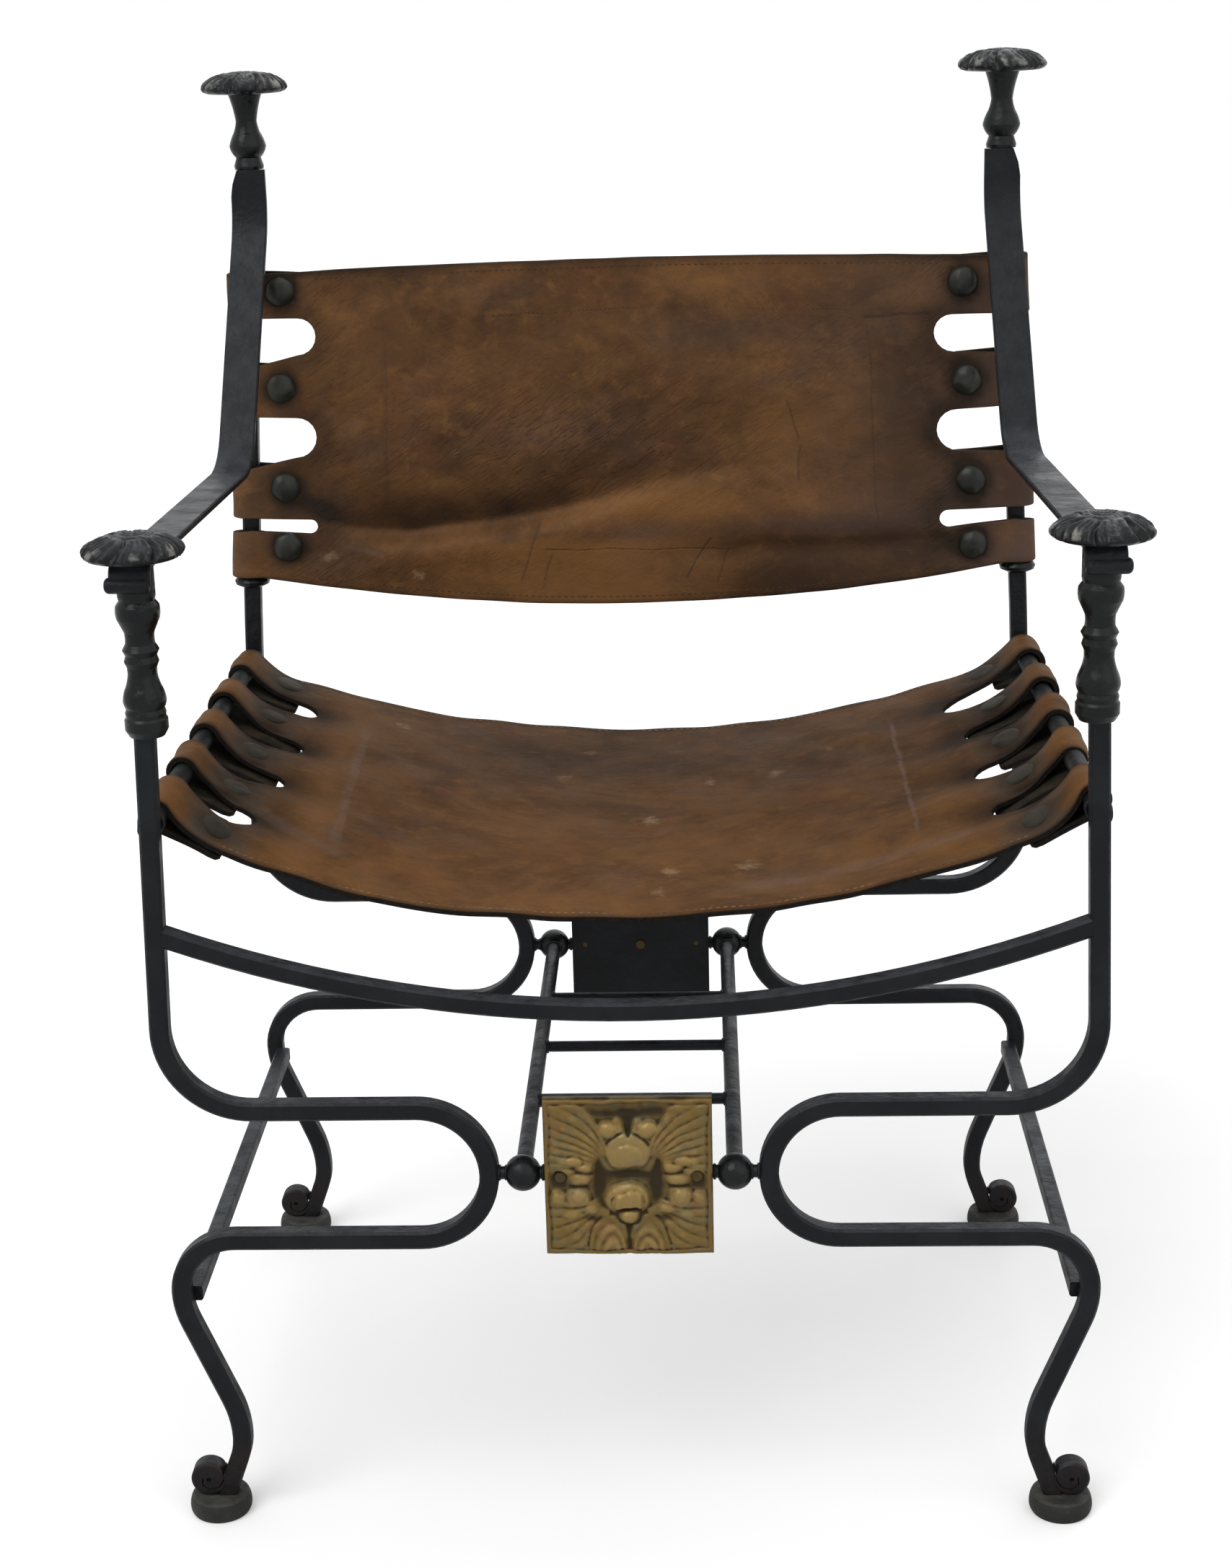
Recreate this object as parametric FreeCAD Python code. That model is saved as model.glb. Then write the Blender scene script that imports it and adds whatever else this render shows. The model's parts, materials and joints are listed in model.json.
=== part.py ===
import FreeCAD, Part
import math
import os

from FreeCAD import Vector

os.makedirs("parts", exist_ok=True)

# Sizes are in millimetres and angles in degrees. The chair faces -Y, X runs across it
# and Z is up from the floor, with the origin under the middle of the chair.

# End frames: the same bent bars stand at the front and at the rear
frame_spacing = 426.0        # between the middle planes of the two frames
bar_size = 13.0              # square iron bar
bar_edge = 1.7               # its hammered-off corners
lower_bar_height = 210.0     # middle of the bar that runs in from the knee
turn_radius = 47.6           # U-turn between the lower and the upper bar
turn_reach = 93.3            # U-turn to the middle of the chair
bend_radius = 58.0           # bend from the upper bar into the post
bend_reach = 308.0           # foot of the post to the middle of the chair
post_lean = 1.7              # lean of both posts where they leave the bend
rear_post_top_lean = 4.0     # lean of the rear post at its top
arm_post_height = 567.0      # top of the front post
back_post_height = 887.0     # top of the rear post

# Legs
knee_reach = 307.5           # widest point of the leg
knee_top_radius = 38.5
knee_low_radius = 64.0
shin_lean = 22.0             # how far the shin leans in, going down
ankle_radius = 80.0
ankle_reach = 273.2          # narrowest point of the leg
heel_radius = 46.8
heel_lean = 20.0             # how far the heel leans out, going down
toe_radius = 12.5            # rolled end of the bar
toe_reach = 298.4
toe_width = 14.2
toe_edge = 1.4
seam_width = 1.0             # slit between the turns of the roll
seam_shares = [(125, 1.06), (170, 0.86), (215, 0.70), (270, 0.56), (325, 0.46), (380, 0.36)]
eye_radius = 1.7

# Foot pads
pad_height = 14.0
pad_radius = 21.5
pad_reach = 292.0
pad_shares = [(0.00, 0.92, 0.00), (0.36, 1.00, 0.02), (0.90, 0.93, 0.02), (1.00, 0.86, 0.00)]

# Rails, rods and stretchers
sag_rail_size = 12.6
sag_rail_end_height = 431.4
sag_rail_middle_height = 374.2
seat_rail_radius = 7.0
seat_rail_height = 506.0
stretcher_size = 11.0
stretcher_edge = 1.2
stretcher_reach = 300.5
stretcher_height = 165.0
rod_radius = 5.6
crossbar_radius = 4.0
crossbar_pitch = 96.0
ball_radius = 12.3
ball_reach = 70.8
ball_neck_radius = 4.4

# Plaques and the iron plates behind them
plaque_width = 112.0
plaque_height = 113.0
plate_thickness = 4.0
plaque_base = 4.5
plaque_rim_width = 3.6
plaque_rim_height = 2.0
plaque_leaf_height = 4.0
plaque_leaf_width = 30.0
plaque_leaf_reach = 69.0     # tip of a leaf to the middle of the plaque
plaque_leaf_root = 5.0       # how far a leaf runs on past the middle
plaque_bud_radius = 10.5
plaque_bud_reach = 21.0      # middle of a bud to the middle of the plaque
screw_reach = 45.5
screw_radius = 2.0
screw_head_radius = 3.6
screw_head_height = 1.6
screw_clearance = 0.2

# Arm straps
strap_width = 26.5
strap_thickness = 5.0
strap_edge = 0.9
strap_slope = 57.0           # fall of the strap between the back and the arm
strap_top_radius = 60.0
strap_arm_radius = 50.0
strap_post_run = 20.0        # straight length welded to the rear post
strap_nose_radius = 7.0      # bend over the front end
strap_nose_reach = 12.8      # baluster to the drop of the strap
strap_drop = 4.8             # from the bend to the middle of the rolled end
strap_roll_radius = 5.2
strap_roll_width = 29.0
strap_roll_edge = 3.2        # rounding of the rolled end's rims
strap_roll_shift = 2.0       # the rolled end stands out of line with the strap, outward
strap_top_taper = 5.5        # cut from the outer edge of the strap's top
strap_taper_height = 20.0

# Turned pieces: rows give height share, radius share and bow of the stretch below, all
# bows as shares of the radius, outward where positive
baluster_height = 110.0      # from the front post to the underside of the arm strap
baluster_radius = 15.0
baluster_shares = [
    (0.000, 0.76, 0.00), (0.040, 0.93, 0.00), (0.100, 0.93, 0.00), (0.115, 0.85, 0.00),
    (0.140, 0.88, 0.00), (0.165, 0.82, 0.00), (0.210, 0.93, 0.02), (0.290, 0.78, 0.03),
    (0.370, 0.63, -0.02), (0.410, 0.64, 0.00), (0.445, 0.75, 0.00), (0.480, 0.67, 0.00),
    (0.513, 0.79, 0.00), (0.550, 0.64, 0.00), (0.620, 0.65, -0.02), (0.700, 0.92, 0.00),
    (0.775, 0.93, 0.03), (0.805, 0.77, 0.00), (0.830, 0.81, 0.00), (1.000, 0.81, 0.00)]
finial_height = 55.0
finial_radius = 13.8
finial_shares = [
    (0.000, 0.78, 0.00), (0.045, 0.81, 0.00), (0.100, 0.74, 0.00), (0.155, 0.67, 0.00),
    (0.310, 1.00, 0.06), (0.490, 0.72, 0.03), (0.640, 0.57, -0.02), (1.000, 0.91, -0.04)]

# Rosettes: a flat underside, a thick rim and a low dome
rosette_radius = 33.0
rosette_height = 16.2
rosette_shares = [
    (0.00, 0.38, 0.00), (0.05, 0.84, 0.00), (0.34, 1.00, 0.03), (0.94, 0.50, 0.10), (1.00, 0.20, 0.00)]

# Stop collars under the back sling
collar_height = 9.0
collar_radius = 14.0
collar_shares = [(0.00, 0.62, 0.00), (0.25, 0.94, 0.00), (0.55, 1.00, 0.00), (1.00, 0.82, 0.00)]

# Leather
leather = 4.0                # two layers stitched together
leather_gap = 0.3            # clearance between leather and iron

# Seat sling
seat_front = -192.0
seat_back = 196.0
seat_front_drop = 76.0       # seat rail to the top of the leather, middle of the front edge
seat_back_drop = 60.0
seat_front_radius = 690.0    # curve of the sag
seat_back_radius = 790.0
seat_sheet_reach = 262.0     # where the tabs leave the sheet
seat_flap_reach = 266.0
seat_flap_gap = 3.5          # between the sheet and the end of the flap below it
seat_slot_count = 4
seat_slot_pitch = 83.0
seat_slot_middle = 5.5
seat_slot_width = 40.0
seat_slot_end_radius = 13.0
seat_slot_reach = 243.0

# Back sling
back_top = 809.5             # upper corners
back_crown = 4.0             # rise of the upper edge towards its middle
back_bottom = 574.0          # lower corners
back_belly = 29.4            # drop of the lower edge towards its middle
back_dish = 13.4             # how far the middle lies behind the front of the loops
back_loop_radius = 15.0
back_flap_reach = 246.0
back_flap_gap = 0.4
back_slot_reach = 237.0
back_slots = [(607.5, 618.0), (660.0, 696.5), (738.5, 770.5)]

# Dome nails
nail_radius = 10.2
nail_crown_radius = 5.5      # flat of the hammered crown
nail_height = 5.6
nail_gap = 0.2               # clearance between a nail's rim and the leather
back_nail_reach = 264.0
back_nail_heights = [590.7, 640.5, 718.0, 792.0]
seat_nail_reach = 270.0
seat_nail_lean = 30.0        # lean of the tabs where the nails go through

overrun = 40.0               # how far cutting shapes run past what they cut

front_y = -frame_spacing / 2
rear_y = frame_spacing / 2
half_bar = bar_size / 2
upper_bar_height = lower_bar_height + 2 * turn_radius
middle_height = lower_bar_height + turn_radius
knee_height = lower_bar_height - knee_top_radius
arm_height = arm_post_height + baluster_height
seat_front_height = seat_rail_height - seat_front_drop
seat_back_height = seat_rail_height - seat_back_drop


def sin(angle):
    return math.sin(math.radians(angle))


def cos(angle):
    return math.cos(math.radians(angle))


def cross_plane(across, up):
    # a point of the end frames' own plane
    return Vector(across, 0, up)


def side_plane(forward, up):
    # a point of an upright plane that runs from the back to the front
    return Vector(0, -forward, up)


def run(length):
    return ("run", length, 0)


def turn(radius, angle):
    # a left turn where the angle is positive, a right turn where it is negative
    return ("turn", radius, angle)


def trace(plane, start, heading, moves):
    # edges of a smooth path of runs and turns, with the place and heading at its end
    edges = []
    at = start
    for kind, size, angle in moves:
        if kind == "run":
            to = (at[0] + size * cos(heading), at[1] + size * sin(heading))
            edges.append(Part.LineSegment(plane(*at), plane(*to)).toShape())
        else:
            side = 1 if angle > 0 else -1
            center = (at[0] - side * size * sin(heading), at[1] + side * size * cos(heading))
            points = []
            for part in (0.5, 1.0):
                way = heading + part * angle
                points.append((center[0] + side * size * sin(way), center[1] - side * size * cos(way)))
            to = points[1]
            edges.append(Part.Arc(plane(*at), plane(*points[0]), plane(*to)).toShape())
            heading += angle
        at = to
    return edges, at, heading


def backwards(moves):
    return [(kind, size, -angle) for kind, size, angle in reversed(moves)]


def bar_section(plane, at, heading, depth, width, edge):
    # outline of a bar with cut corners, square to a path at its start
    across = plane(*at)
    normal = plane(at[0] - sin(heading), at[1] + cos(heading)) - across
    flat = normal.cross(plane(at[0] + cos(heading), at[1] + sin(heading)) - across)
    a = depth / 2
    b = width / 2
    corners = [(a, b - edge), (a - edge, b), (edge - a, b), (-a, b - edge),
               (-a, edge - b), (edge - a, -b), (a - edge, -b), (a, edge - b)]
    points = [across + normal * u + flat * v for u, v in corners]
    return Part.makePolygon(points + points[:1])


def swept_bar(plane, start, heading, moves, depth, width, edge):
    edges, end, last = trace(plane, start, heading, moves)
    section = bar_section(plane, start, heading, depth, width, edge)
    return Part.Wire(edges).makePipeShell([section], True, False)


def moved(shape, x, y, z):
    copy = shape.copy()
    copy.translate(Vector(x, y, z))
    return copy


def mirrored(shape):
    # the other side of the chair
    return shape.mirror(Vector(0, 0, 0), Vector(1, 0, 0))


def turned(rows, height, radius):
    # a turned piece with its axis on Z: each row bows the stretch that leads up to it
    edges = []
    at = Vector(0, 0, 0)
    for rise, thick, bow in rows:
        to = Vector(thick * radius, 0, rise * height)
        if at.distanceToPoint(to) > 0:
            middle = (at + to) * 0.5
            if bow:
                along = (to - at).normalize()
                middle = middle + Vector(along.z, 0, -along.x) * (bow * radius)
                edges.append(Part.Arc(at, middle, to).toShape())
            else:
                edges.append(Part.LineSegment(at, to).toShape())
        at = to
    top = Vector(0, 0, at.z)
    edges.append(Part.LineSegment(at, top).toShape())
    edges.append(Part.LineSegment(top, Vector(0, 0, 0)).toShape())
    return Part.Face(Part.Wire(edges)).revolve(Vector(0, 0, 0), Vector(0, 0, 1), 360)


def rod(radius, start, end):
    along = end - start
    return Part.makeCylinder(radius, along.Length, start, along)


def block(low, high):
    size = high - low
    return Part.makeBox(size.x, size.y, size.z, low)


def save(name, shape):
    shape.exportStep(os.path.join("parts", name + ".step"))
    print(name, len(shape.Solids), round(shape.Volume / 1000, 2), "cm3")


def write_pair(name, right):
    save("right_" + name, right)
    save("left_" + name, mirrored(right))


# Scroll bars

def shin_moves():
    drop = knee_reach - ankle_reach
    curves = (knee_low_radius + ankle_radius) * (1 - cos(shin_lean))
    return [turn(knee_low_radius, -shin_lean), run((drop - curves) / sin(shin_lean)),
            turn(ankle_radius, shin_lean), turn(heel_radius, heel_lean)]


def post_x(height, top, top_lean):
    # middle of a post at a height, where its lean grows steadily from the bend to the top
    foot = upper_bar_height + bend_radius
    lean = post_lean + (top_lean - post_lean) * (height - foot) / (top - foot) / 2
    return bend_reach - (height - foot) * math.tan(math.radians(lean))


def scroll(top, top_lean):
    # right-hand bar in the plane of its frame, from the toe up to the top of the post
    edges, ankle, down = trace(cross_plane, (knee_reach, knee_height), -90, shin_moves())
    heel_run = (ankle[1] - pad_height) / cos(heel_lean) + half_bar
    leg = shin_moves() + [run(heel_run)]
    edges, foot, down = trace(cross_plane, (knee_reach, knee_height), -90, leg)
    bar_run = knee_reach - knee_top_radius - turn_reach - turn_radius
    upper_run = bend_reach - bend_radius - turn_reach - turn_radius
    moves = backwards(leg) + [turn(knee_top_radius, 90), run(bar_run), turn(turn_radius, -180),
                              run(upper_run), turn(bend_radius, 90 + post_lean)]
    foot_height = upper_bar_height + bend_radius * (1 + sin(post_lean))
    rise = top + half_bar - foot_height
    gain = top_lean - post_lean
    if gain > 0:
        moves.append(turn(rise / cos(top_lean) / math.radians(gain), gain))
    else:
        moves.append(run(rise / cos(post_lean)))
    bar = swept_bar(cross_plane, foot, down + 180, moves, bar_size, bar_size, bar_edge)
    far = knee_reach + overrun
    low = Vector(0, -overrun, foot[1] - overrun)
    bar = bar.cut(block(low, Vector(far, overrun, pad_height)))
    bar = bar.cut(block(Vector(0, -overrun, top), Vector(far, overrun, top + overrun)))
    return bar.fuse(toe()).removeSplitter()


def toe():
    # the end of the bar, rolled outward and up on itself
    center = Vector(toe_reach, -toe_width / 2, pad_height + toe_radius)
    roll = Part.makeCylinder(toe_radius, toe_width, center, Vector(0, 1, 0))
    rims = [edge for edge in roll.Edges if isinstance(edge.Curve, Part.Circle)]
    return roll.makeChamfer(toe_edge, rims)


def toe_seam():
    # slit that winds from the notch beside the leg down to the eye of the roll
    center = (toe_reach, pad_height + toe_radius)
    outer = []
    inner = []
    for angle, share in seam_shares:
        for side, points in ((1, outer), (-1, inner)):
            reach = share * toe_radius + side * seam_width / 2
            points.append(cross_plane(center[0] + reach * cos(angle), center[1] + reach * sin(angle)))
    edges = []
    for points in (outer, inner):
        for first in (0, 2):
            edges.append((points[first], points[first + 1], points[first + 2]))
        edges.append(points[4:])
    shapes = []
    for points in edges:
        if len(points) == 3:
            shapes.append(Part.Arc(*points).toShape())
        else:
            shapes.append(Part.LineSegment(*points).toShape())
    shapes.append(Part.LineSegment(outer[0], inner[0]).toShape())
    shapes.append(Part.LineSegment(outer[-1], inner[-1]).toShape())
    face = Part.Face(Part.Wire(Part.__sortEdges__(shapes)))
    slit = moved(face.extrude(Vector(0, 2 * toe_width, 0)), 0, -toe_width, 0)
    eye = Part.makeCylinder(eye_radius, 2 * toe_width, cross_plane(*center) - Vector(0, toe_width, 0),
                            Vector(0, 1, 0))
    return slit.fuse(eye)


seam = toe_seam()
front_scroll = moved(scroll(arm_post_height, post_lean).cut(seam), 0, front_y, 0)
rear_scroll = moved(scroll(back_post_height, rear_post_top_lean).cut(seam), 0, rear_y, 0)
write_pair("front_scroll", front_scroll)
write_pair("rear_scroll", rear_scroll)


# Foot pads

foot_pad = turned(pad_shares, pad_height, pad_radius)
for place, y in (("front", front_y), ("rear", rear_y)):
    write_pair(place + "_foot_pad", moved(foot_pad, pad_reach, y, 0))


# Sagging rails between the posts

def sag_rail(y, posts):
    rise = sag_rail_end_height - sag_rail_middle_height
    chord = post_x(sag_rail_end_height, arm_post_height, post_lean)
    radius = (chord * chord + rise * rise) / (2 * rise)
    half = math.degrees(math.asin(chord / radius))
    bar = swept_bar(cross_plane, (-chord, sag_rail_end_height), -half, [turn(radius, 2 * half)],
                    sag_rail_size, sag_rail_size, bar_edge)
    bar = moved(bar, 0, y, 0)
    for post in posts:
        bar = bar.cut(post)
    return max(bar.Solids, key=lambda solid: solid.Volume)


save("front_sag_rail", sag_rail(front_y, [front_scroll, mirrored(front_scroll)]))
save("rear_sag_rail", sag_rail(rear_y, [rear_scroll, mirrored(rear_scroll)]))


# Balls beside the plaques, with the necks that join them to the U-turns and plates

def ball(y, scroll_bar):
    middle = Vector(ball_reach, y, middle_height)
    neck = rod(ball_neck_radius, Vector(plaque_width / 2, y, middle_height),
               Vector(turn_reach, y, middle_height))
    return Part.makeSphere(ball_radius, middle).fuse(neck).cut(scroll_bar).removeSplitter()


front_ball = ball(front_y, front_scroll)
rear_ball = ball(rear_y, rear_scroll)
write_pair("front_ball", front_ball)
write_pair("rear_ball", rear_ball)

center_rod = rod(rod_radius, Vector(ball_reach, front_y, middle_height),
                 Vector(ball_reach, rear_y, middle_height)).cut(front_ball).cut(rear_ball)
write_pair("center_rod", center_rod)

for name, step in (("front", -1), ("middle", 0), ("rear", 1)):
    y = step * crossbar_pitch
    bar = rod(crossbar_radius, Vector(-ball_reach, y, middle_height), Vector(ball_reach, y, middle_height))
    save(name + "_crossbar", bar.cut(center_rod).cut(mirrored(center_rod)))


# Side stretchers, behind the knees

def square_bar(size, edge, x, z, start, end):
    section = bar_section(side_plane, (-start, z), 180, size, size, edge)
    return moved(Part.Face(section).extrude(Vector(0, end - start, 0)), x, 0, 0)


stretcher = square_bar(stretcher_size, stretcher_edge, stretcher_reach, stretcher_height,
                       front_y + half_bar, rear_y - half_bar)
write_pair("side_stretcher", stretcher)


# Seat rails between the front and rear posts

seat_rail_reach = (post_x(seat_rail_height, arm_post_height, post_lean)
                   + post_x(seat_rail_height, back_post_height, rear_post_top_lean)) / 2
seat_rail = rod(seat_rail_radius, Vector(seat_rail_reach, front_y + half_bar, seat_rail_height),
                Vector(seat_rail_reach, rear_y - half_bar, seat_rail_height))
write_pair("seat_rail", seat_rail)


# Plates, plaques and their screws, made facing -Y with the plate's middle on the origin

def plate():
    low = Vector(-plaque_width / 2, -plate_thickness / 2, -plaque_height / 2)
    return block(low, -low)


def plaque():
    back = -plate_thickness / 2
    face = back - plaque_base
    half_width = plaque_width / 2
    half_height = plaque_height / 2
    base = block(Vector(-half_width, face, -half_height), Vector(half_width, back, half_height))
    rim = block(Vector(-half_width, face - plaque_rim_height, -half_height),
                Vector(half_width, face, half_height))
    field = Vector(half_width - plaque_rim_width, 0, half_height - plaque_rim_width)
    rim = rim.cut(block(Vector(-field.x, face - overrun, -field.z), Vector(field.x, overrun, field.z)))
    shape = base.fuse(rim)
    for angle in (45, 135, 225, 315):
        shape = shape.fuse(leaf(face, angle))
    for side in (-1, 1):
        height = side * plaque_bud_reach
        bud = Part.makeCone(plaque_bud_radius, plaque_bud_radius / 2, plaque_leaf_height,
                            Vector(0, face, height), Vector(0, -1, 0))
        shape = shape.fuse(bud)
    return shape.removeSplitter()


def leaf(face, angle):
    # one of four pointed leaves that reach from the middle into the corners
    tip = Vector(plaque_leaf_reach, face, 0)
    root = Vector(-plaque_leaf_root, face, 0)
    edges = []
    for side in (-1, 1):
        swell = Vector((tip.x + root.x) / 2, face, side * plaque_leaf_width / 2)
        edges.append(Part.Arc(root, swell, tip).toShape())
    outline = Part.Face(Part.Wire(Part.__sortEdges__(edges)))
    body = outline.extrude(Vector(0, -plaque_leaf_height, 0))
    body.rotate(Vector(0, 0, 0), Vector(0, 1, 0), angle)
    return body


def screws():
    # two through the plaque from its face, one through the plate from behind
    face = -plate_thickness / 2 - plaque_base
    solids = []
    for x in (-screw_reach, screw_reach):
        shank = rod(screw_radius, Vector(x, face, 0), Vector(x, plate_thickness / 2, 0))
        head = rod(screw_head_radius, Vector(x, face - screw_head_height, 0), Vector(x, face, 0))
        solids.append(shank.fuse(head).removeSplitter())
    back = plate_thickness / 2
    shank = rod(screw_radius, Vector(0, face, 0), Vector(0, back, 0))
    head = rod(screw_head_radius, Vector(0, back, 0), Vector(0, back + screw_head_height, 0))
    solids.append(shank.fuse(head).removeSplitter())
    return solids


def screw_holes():
    face = -plate_thickness / 2 - plaque_base
    radius = screw_radius + screw_clearance
    holes = [rod(radius, Vector(0, face, 0), Vector(0, overrun, 0))]
    for x in (-screw_reach, screw_reach):
        holes.append(rod(radius, Vector(x, -overrun, 0), Vector(x, overrun, 0)))
        pocket = rod(screw_head_radius + screw_clearance, Vector(x, -overrun, 0), Vector(x, face, 0))
        holes.append(pocket)
    return Part.makeCompound(holes)


holes = screw_holes()
plain_plate = plate().cut(holes)
plain_plaque = plaque().cut(holes)
all_screws = []
for name, y, angle in (("front", front_y, 0), ("rear", rear_y, 180)):
    for piece, shape in (("backing_plate", plain_plate), ("plaque", plain_plaque)):
        copy = shape.copy()
        copy.rotate(Vector(0, 0, 0), Vector(0, 0, 1), angle)
        save(name + "_" + piece, moved(copy, 0, y, middle_height))
    for shape in screws():
        shape.rotate(Vector(0, 0, 0), Vector(0, 0, 1), angle)
        all_screws.append(moved(shape, 0, y, middle_height))
save("plaque_screws", Part.makeCompound(all_screws))


# Arm straps: down the rear post, forward as the arm, and rolled over at the front

def arm_strap():
    level = arm_height + strap_thickness / 2
    start = (front_y + half_bar + strap_thickness / 2, back_post_height)
    lift = 90 - strap_slope
    fall = back_post_height - level - strap_post_run
    fall = fall - strap_top_radius * sin(lift) - strap_arm_radius * (1 - cos(strap_slope))
    slope_run = fall / sin(strap_slope)
    reach = strap_top_radius * (1 - cos(lift)) + slope_run * cos(strap_slope)
    reach = reach + strap_arm_radius * sin(strap_slope)
    nose = rear_y + strap_nose_reach - strap_nose_radius
    moves = [run(strap_post_run), turn(strap_top_radius, lift), run(slope_run),
             turn(strap_arm_radius, strap_slope), run(nose - start[0] - reach),
             turn(strap_nose_radius, -90), run(strap_drop)]
    strap = swept_bar(side_plane, start, -90, moves, strap_thickness, strap_width, strap_edge)
    drop_y = front_y - strap_nose_reach
    roll_height = level - strap_nose_radius - strap_drop
    roll = Part.makeCylinder(strap_roll_radius, strap_roll_width,
                             Vector(strap_roll_shift - strap_roll_width / 2, drop_y, roll_height),
                             Vector(1, 0, 0))
    rims = [edge for edge in roll.Edges if isinstance(edge.Curve, Part.Circle)]
    strap = strap.fuse(roll.makeFillet(strap_roll_edge, rims)).cut(taper())
    splay = math.degrees(math.atan((arm_reach - top_reach) / (frame_spacing - half_bar)))
    strap.rotate(Vector(0, front_y, 0), Vector(0, 0, 1), splay)
    return moved(strap, arm_reach, 0, 0).removeSplitter()


def taper():
    # what the smith took off the outer corner of the strap's top
    edge = strap_width / 2
    foot = back_post_height - strap_taper_height
    corners = [(edge, foot), (edge - strap_top_taper / 3, foot + strap_taper_height / 2),
               (edge - strap_top_taper, back_post_height), (edge + overrun, back_post_height),
               (edge + overrun, foot)]
    points = [Vector(x, 0, z) for x, z in corners]
    return Part.Face(Part.makePolygon(points + points[:1])).extrude(Vector(0, frame_spacing, 0))


arm_reach = (post_x(arm_post_height, arm_post_height, post_lean)
             + post_x(arm_height, arm_height, post_lean)) / 2
top_reach = post_x(back_post_height, back_post_height, rear_post_top_lean)
strap = arm_strap().cut(rear_scroll)
write_pair("arm_strap", strap)


# Balusters, finials and rosettes

rosette = turned(rosette_shares, rosette_height, rosette_radius)

baluster = turned(baluster_shares, baluster_height, baluster_radius)
baluster = moved(baluster, arm_reach, front_y, arm_post_height).cut(strap)
write_pair("baluster", max(baluster.Solids, key=lambda solid: solid.Volume))

finial = moved(turned(finial_shares, finial_height, finial_radius), top_reach, rear_y, back_post_height)
write_pair("finial", finial)

front_rosette = moved(rosette, arm_reach, front_y, arm_height + strap_thickness)
write_pair("front_rosette", front_rosette)
rear_rosette = moved(rosette, top_reach, rear_y, back_post_height + finial_height)
write_pair("rear_rosette", rear_rosette)


# Stop collars on the rear posts

collar_foot = back_bottom - leather_gap - collar_height
collar_x = post_x(collar_foot, back_post_height, rear_post_top_lean)
collar = turned(collar_shares, collar_height, collar_radius)
collar = moved(collar, collar_x, rear_y, collar_foot).cut(rear_scroll)
write_pair("post_collar", collar)


# Slings: one closed outline holds the sheet, the loop round the rail and the flap that
# comes back behind it. Across is measured from the middle, and out towards the sitter.

def tangent_radius(start, lean, center, loop):
    # radius of the hollow curve that leaves the sheet and meets the loop
    offset = (start[0] - center[0], start[1] - center[1])
    along = -offset[0] * sin(lean) + offset[1] * cos(lean)
    apart = offset[0] ** 2 + offset[1] ** 2
    return (apart - loop ** 2) / (2 * (loop - along))


def on_circle(center, radius, angle):
    return (center[0] + radius * cos(angle), center[1] + radius * sin(angle))


def arcs(center, radius, start, end, count):
    # points of an arc for count equal pieces, each with its middle
    step = (end - start) / (2 * count)
    return [on_circle(center, radius, start + index * step) for index in range(2 * count + 1)]


def arc_edges(plane, points):
    edges = []
    for first in range(0, len(points) - 2, 2):
        trio = [plane(*point) for point in points[first:first + 3]]
        edges.append(Part.Arc(*trio).toShape())
    return edges


def under_sheet(center, radius, reach):
    # height of the sheet's underside at a reach from the middle
    return center[1] - math.sqrt((radius + leather) ** 2 - (reach - center[0]) ** 2)


def flap_start(rail, loop, flap):
    # angle at which a flap that ends at a point leaves the loop
    distance = math.hypot(rail[0] - flap[0], rail[1] - flap[1])
    toward = math.degrees(math.atan2(rail[1] - flap[1], rail[0] - flap[0]))
    return toward - math.degrees(math.asin(loop / distance)) - 90


def flap_edges(plane, rail, loop, flap):
    # the straight flap, from the loop to its cut end and back
    start = flap_start(rail, loop, flap)
    outer = on_circle(rail, loop, start)
    inner = on_circle(rail, loop - leather, start)
    inner_end = (flap[0] + inner[0] - outer[0], flap[1] + inner[1] - outer[1])
    edges = []
    for a, b in ((outer, flap), (flap, inner_end), (inner_end, inner)):
        edges.append(Part.LineSegment(plane(*a), plane(*b)).toShape())
    return edges


def full_outline(half):
    return Part.Wire(Part.__sortEdges__(half + [mirrored(edge) for edge in half]))


def seat_outline(middle, sag_radius, rail, loop):
    # from the middle of the sag over the hollow of the tab, round the rail and back
    lean = math.degrees(math.asin(seat_sheet_reach / sag_radius))
    sag_center = (0, middle + sag_radius)
    leave = on_circle(sag_center, sag_radius, lean - 90)
    hollow = tangent_radius(leave, lean, rail, loop)
    hollow_center = (leave[0] - hollow * sin(lean), leave[1] + hollow * cos(lean))
    meet = math.degrees(math.atan2(rail[1] - hollow_center[1], rail[0] - hollow_center[0]))
    flap = (seat_flap_reach, under_sheet(hollow_center, hollow, seat_flap_reach) - seat_flap_gap - leather)
    start = flap_start(rail, loop, flap)
    edges = flap_edges(cross_plane, rail, loop, flap)
    for offset in (0, leather):
        edges += arc_edges(cross_plane, arcs(sag_center, sag_radius + offset, -90, lean - 90, 1))
        edges += arc_edges(cross_plane, arcs(hollow_center, hollow + offset, lean - 90, meet, 1))
        edges += arc_edges(cross_plane, arcs(rail, loop - offset, meet + 180, start, 2))
    return full_outline(edges)


def seat_sling():
    loop = seat_rail_radius + leather_gap + leather
    rail = (seat_rail_reach, seat_rail_height)
    outlines = []
    ends = ((seat_front, seat_front_height, seat_front_radius),
            (seat_back, seat_back_height, seat_back_radius))
    for y, height, radius in ends:
        wire = seat_outline(height, radius, rail, loop)
        wire.translate(Vector(0, y, 0))
        outlines.append(wire)
    sling = Part.makeLoft(outlines, True, True)
    low = seat_front_height - overrun
    high = seat_rail_height + overrun
    far = seat_rail_reach + overrun
    for y in seat_slot_places():
        for side in (-1, 1):
            sling = sling.cut(seat_slot(y, side, low, high, far))
    return sling


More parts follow.
